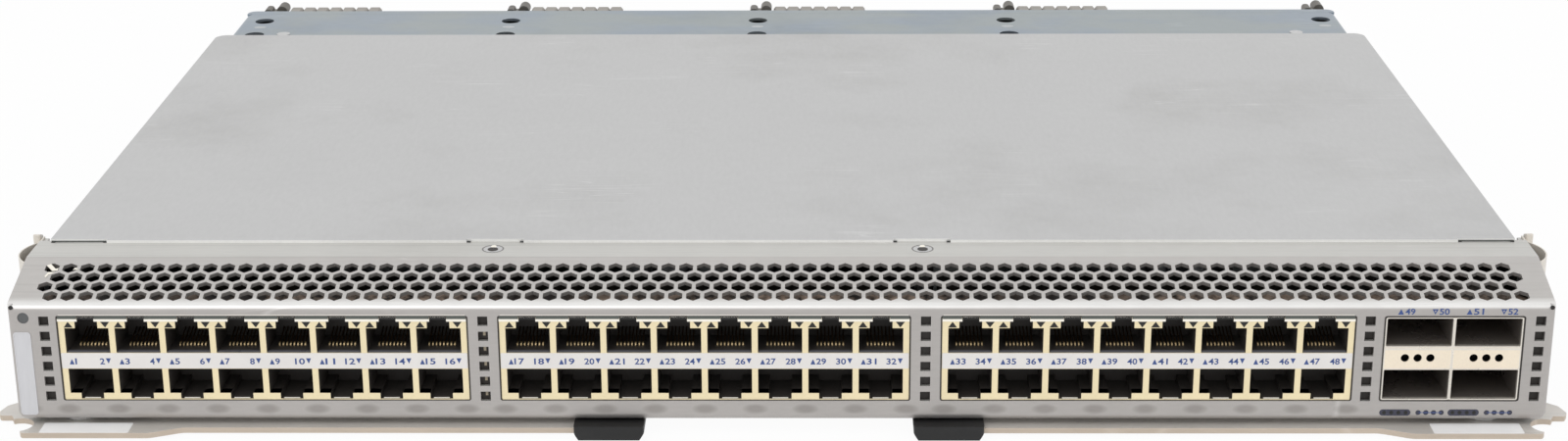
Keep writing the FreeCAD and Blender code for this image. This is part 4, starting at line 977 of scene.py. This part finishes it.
class CARD_OT_rear(Operator):
    """Finish the rear connectors, and add the bracket's lip and the tops of the castings"""
    bl_idname = "card.rear"
    bl_label = "Rear connectors"

    def execute(self, context):
        finish("die_casting", *("guide_block_%d" % n for n in GUIDES))
        finish("connector_plastic", *("fabric_connector_%d" % n for n in CONNECTORS), "power_connector")
        low, high = box("rear_bracket")
        self.lip(low, high)
        self.connector_tops(high.y + PAST_LIP)
        self.guide_ears(high.y + PAST_LIP)
        self.weld_marks(high.z)
        return {"FINISHED"}

    def lip(self, low, high):
        """Rolled rear edge of the bracket, with rounded ends."""
        radius = 3.0
        turns = [math.radians(a) for a in range(0, 91, 15)]
        ends = [(low.x + radius * (1 - math.cos(a)), radius * (1 - math.sin(a))) for a in turns]
        ends += [(-x, back) for x, back in reversed(ends)]
        bm = bmesh.new()
        loft(bm, [[(x, high.y + max(y - back, LIP[0][0]), high.z + z) for y, z in LIP] for x, back in ends])
        piece("bracket_lip", bm, "zinc_sheet")

    def connector_tops(self, edge):
        """Ribbed tops of the rear connectors, standing above the bracket's edge."""
        for n in CONNECTORS:
            low, high = box("fabric_connector_%d" % n)
            bm = bmesh.new()
            for k in range(7):
                x, z = low.x - 0.9 + (k + 0.5) * RIB_STEP, high.z + 2.3
                prism_into(bm, [(x + dx, z + dz) for dx, dz in RIB], edge, high.y - 0.1)
            piece("connector_ribs_%d" % n, bm, "connector_top")

    def guide_ears(self, edge):
        """Ear, foot and domed boss on top of each guide block's rear end."""
        top = box("top_cover")[1].z
        radius = 2.05
        for n in GUIDES:
            low, high = box("guide_block_%d" % n)
            ear = rounded(low.x + 1.4, low.x + 4.3, high.z - 2.4, high.z + 1.1, 1.1, 4)
            foot = rounded(low.x + 3.0, high.x - 1.5, high.z - 2.4, high.z - 0.2, 0.3, 3)
            boss = disc(high.x - radius - 0.05, top - radius - 0.1, radius, 20)
            bm = bmesh.new()
            for outline, start, end in ((ear, 0, 4.0), (foot, 0.5, 4.0), (boss, 3.0, 0.1)):
                prism_into(bm, outline, edge + start, high.y - end)
            piece("guide_ear_%d" % n, bm, "die_casting", 0.3)

    def weld_marks(self, top):
        """Small bright marks between the holes of the bracket."""
        y = box("top_cover")[1].y + 13.5
        bm = bmesh.new()
        for n in GUIDES:
            low, high = box("guide_block_%d" % n)
            slab_into(bm, oval((low.x + high.x) / 2, y, 2.3, 1.5, 18), top, top + 0.04)
        piece("weld_marks", bm, "weld_mark")


class CARD_OT_levers(Operator):
    """Finish the levers and grips and add the bare labels"""
    bl_idname = "card.levers"
    bl_label = "Levers"

    def execute(self, context):
        for side, way in SIDES:
            finish("lever_steel", "lever_" + side)
            finish("grip_plastic", "grip_" + side)
            low, high = box("lever_" + side)
            x0, x1 = sorted((way * 181.5, way * 206.5))
            bm = bmesh.new()
            slab_into(bm, rounded(x0, x1, low.y + 0.2, low.y + 6.8, 0.4, 3), high.z, high.z + details().film)
            piece("lever_label_" + side, bm, "label_paper", 0.03, "lever_" + side)
        finish("fastener_steel", "lever_studs")
        return {"FINISHED"}


class CARD_OT_fasteners(Operator):
    """Finish the rivets and screws, and add the painted shade in the drives, the painted glints and the
    painted ring shadows of the hood's screws
    """
    bl_idname = "card.fasteners"
    bl_label = "Fasteners"

    def execute(self, context):
        finish("fastener_steel", "hood_screws", "cover_screws", "tab_rivets", "bracket_rivets")
        low, high = box("hood_screws")
        top, y, inset = high.z, (low.y + high.y) / 2, 2.69
        inside, outside, sectors = 2.75, 3.15, 24
        drive_shade, glint, ring = bmesh.new(), bmesh.new(), bmesh.new()
        for x in (low.x + inset, high.x - inset):
            # Painted shade in each screw's recess, and a painted highlight on each head.
            slab_into(drive_shade, disc(x, y - 0.3, 1.5, 20), top, top + 0.06)
            slab_into(glint, oval(x, y + 2.0, 0.8, 1.04, 20), top, top + 0.05)
            for n in range(sectors):
                a, b = (math.tau * k / sectors for k in (n, n + 1))
                corners = ((inside, a), (outside, a), (outside, b), (inside, b))
                slab_into(ring, [(x + r * math.cos(t), y + r * math.sin(t)) for r, t in corners],
                          top, top + 0.03)
        piece("screw_drive_shades", drive_shade, "painted_shade")
        piece("screw_glints", glint, "bright_plating_and_glint")
        piece("screw_rings", ring, "ring_shadow")
        return {"FINISHED"}


class CARD_OT_stage(Operator):
    """Make the floor, the lamps, the sky and the camera"""
    bl_idname = "card.stage"
    bl_label = "Stage"

    def execute(self, context):
        s = context.scene.card_stage
        self.floor(s)
        self.sky(context.scene, s)
        self.lamp("key_lamp", s.key, 1.6, (-0.7, -1.1, 1.5))
        self.lamp("fill_lamp", s.fill, 1.2, (1.3, -0.5, 0.9))
        self.camera(context.scene, s)
        context.scene.view_settings.view_transform = "Standard"
        return {"FINISHED"}

    def floor(self, s):
        """Floor just under the grips, lit by itself where it is looked at, so that it stays white."""
        bm = bmesh.new()
        bmesh.ops.create_grid(bm, x_segments=8, y_segments=8, size=6.0)
        mesh = bpy.data.meshes.new("floor")
        bm.to_mesh(mesh)
        bm.free()
        obj = add_object("floor", mesh)
        obj.location.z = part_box("grip_left")[0].z - 0.2 * MM
        t = new_material("floor_board")
        t.surface(t.mix(t.noise(t.place(), 6.0, 3.0), [c * 0.985 for c in s.floor], s.floor), 0.8)
        t.shader.inputs["Specular IOR Level"].default_value = 0.1
        glow = t.add("Emission", {"Color": (1, 1, 1, 1), "Strength": 1.0})
        both = t.add("MixShader", {0: t.times(t.in_view(), 0.95), 1: t.shader.outputs["BSDF"],
                                             2: glow.outputs["Emission"]})
        t.feed(t.out.inputs["Surface"], both.outputs["Shader"])
        mesh.materials.append(bpy.data.materials["floor_board"])

    def sky(self, scene, s):
        """Even light, with a white backdrop behind it."""
        world = bpy.data.worlds.new("studio")
        world.use_nodes = True
        world.node_tree.nodes.clear()
        t = Tree(world.node_tree)
        strength = t.ramp(t.in_view(), 0, 1, s.sky, 1.0)
        back = t.add("Background", {"Color": (1, 1, 1, 1), "Strength": strength})
        t.add("OutputWorld", {"Surface": back.outputs["Background"]})
        scene.world = world

    def lamp(self, name, power, size, place):
        data = bpy.data.lights.new(name, "AREA")
        data.shape = "DISK"
        data.size = size
        data.energy = power
        obj = add_object(name, data)
        obj.location = place
        obj.rotation_euler = (-Vector(place)).to_track_quat("-Z", "Y").to_euler()

    def camera(self, scene, s):
        data = bpy.data.cameras.new("camera")
        data.lens = s.lens
        data.sensor_width = 36.0
        data.sensor_fit = "HORIZONTAL"
        data.shift_x = 0.00233
        data.shift_y = -0.01228
        data.clip_start = 0.01
        obj = add_object("camera", data)
        obj.location = (0.01132, -0.81169, 0.30002)
        obj.rotation_euler = [math.radians(a) for a in (70.8175, 0.3239, 0.7967)]
        scene.camera = obj


class CARD_PT_panel(Panel):
    """Lists the settings and the steps"""
    bl_idname = "CARD_PT_panel"
    bl_label = "Line card"
    bl_space_type = "VIEW_3D"
    bl_region_type = "UI"
    bl_category = "Line card"

    def draw(self, context):
        for group in (context.scene.card_finishes, context.scene.card_details, context.scene.card_stage):
            rows = self.layout.box()
            for key in group.__annotations__:
                rows.prop(group, key)
        for step in STEPS:
            self.layout.operator(step.bl_idname)


SETTINGS = (CardFinishes, CardDetails, CardStage)
STEPS = (CARD_OT_finishes, CARD_OT_sheet_parts, CARD_OT_jacks, CARD_OT_port_labels, CARD_OT_uplinks,
         CARD_OT_board, CARD_OT_rear, CARD_OT_levers, CARD_OT_fasteners, CARD_OT_stage)


def register():
    for cls in (*SETTINGS, *STEPS, CARD_PT_panel):
        bpy.utils.register_class(cls)
    bpy.types.Scene.card_finishes = PointerProperty(type=CardFinishes)
    bpy.types.Scene.card_details = PointerProperty(type=CardDetails)
    bpy.types.Scene.card_stage = PointerProperty(type=CardStage)


def unregister():
    for key in ("card_finishes", "card_details", "card_stage"):
        delattr(bpy.types.Scene, key)
    for cls in reversed((*SETTINGS, *STEPS, CARD_PT_panel)):
        bpy.utils.unregister_class(cls)


def main():
    register()
    for step in STEPS:
        group, name = step.bl_idname.split(".")
        getattr(getattr(bpy.ops, group), name)()


if __name__ == "__main__":
    main()
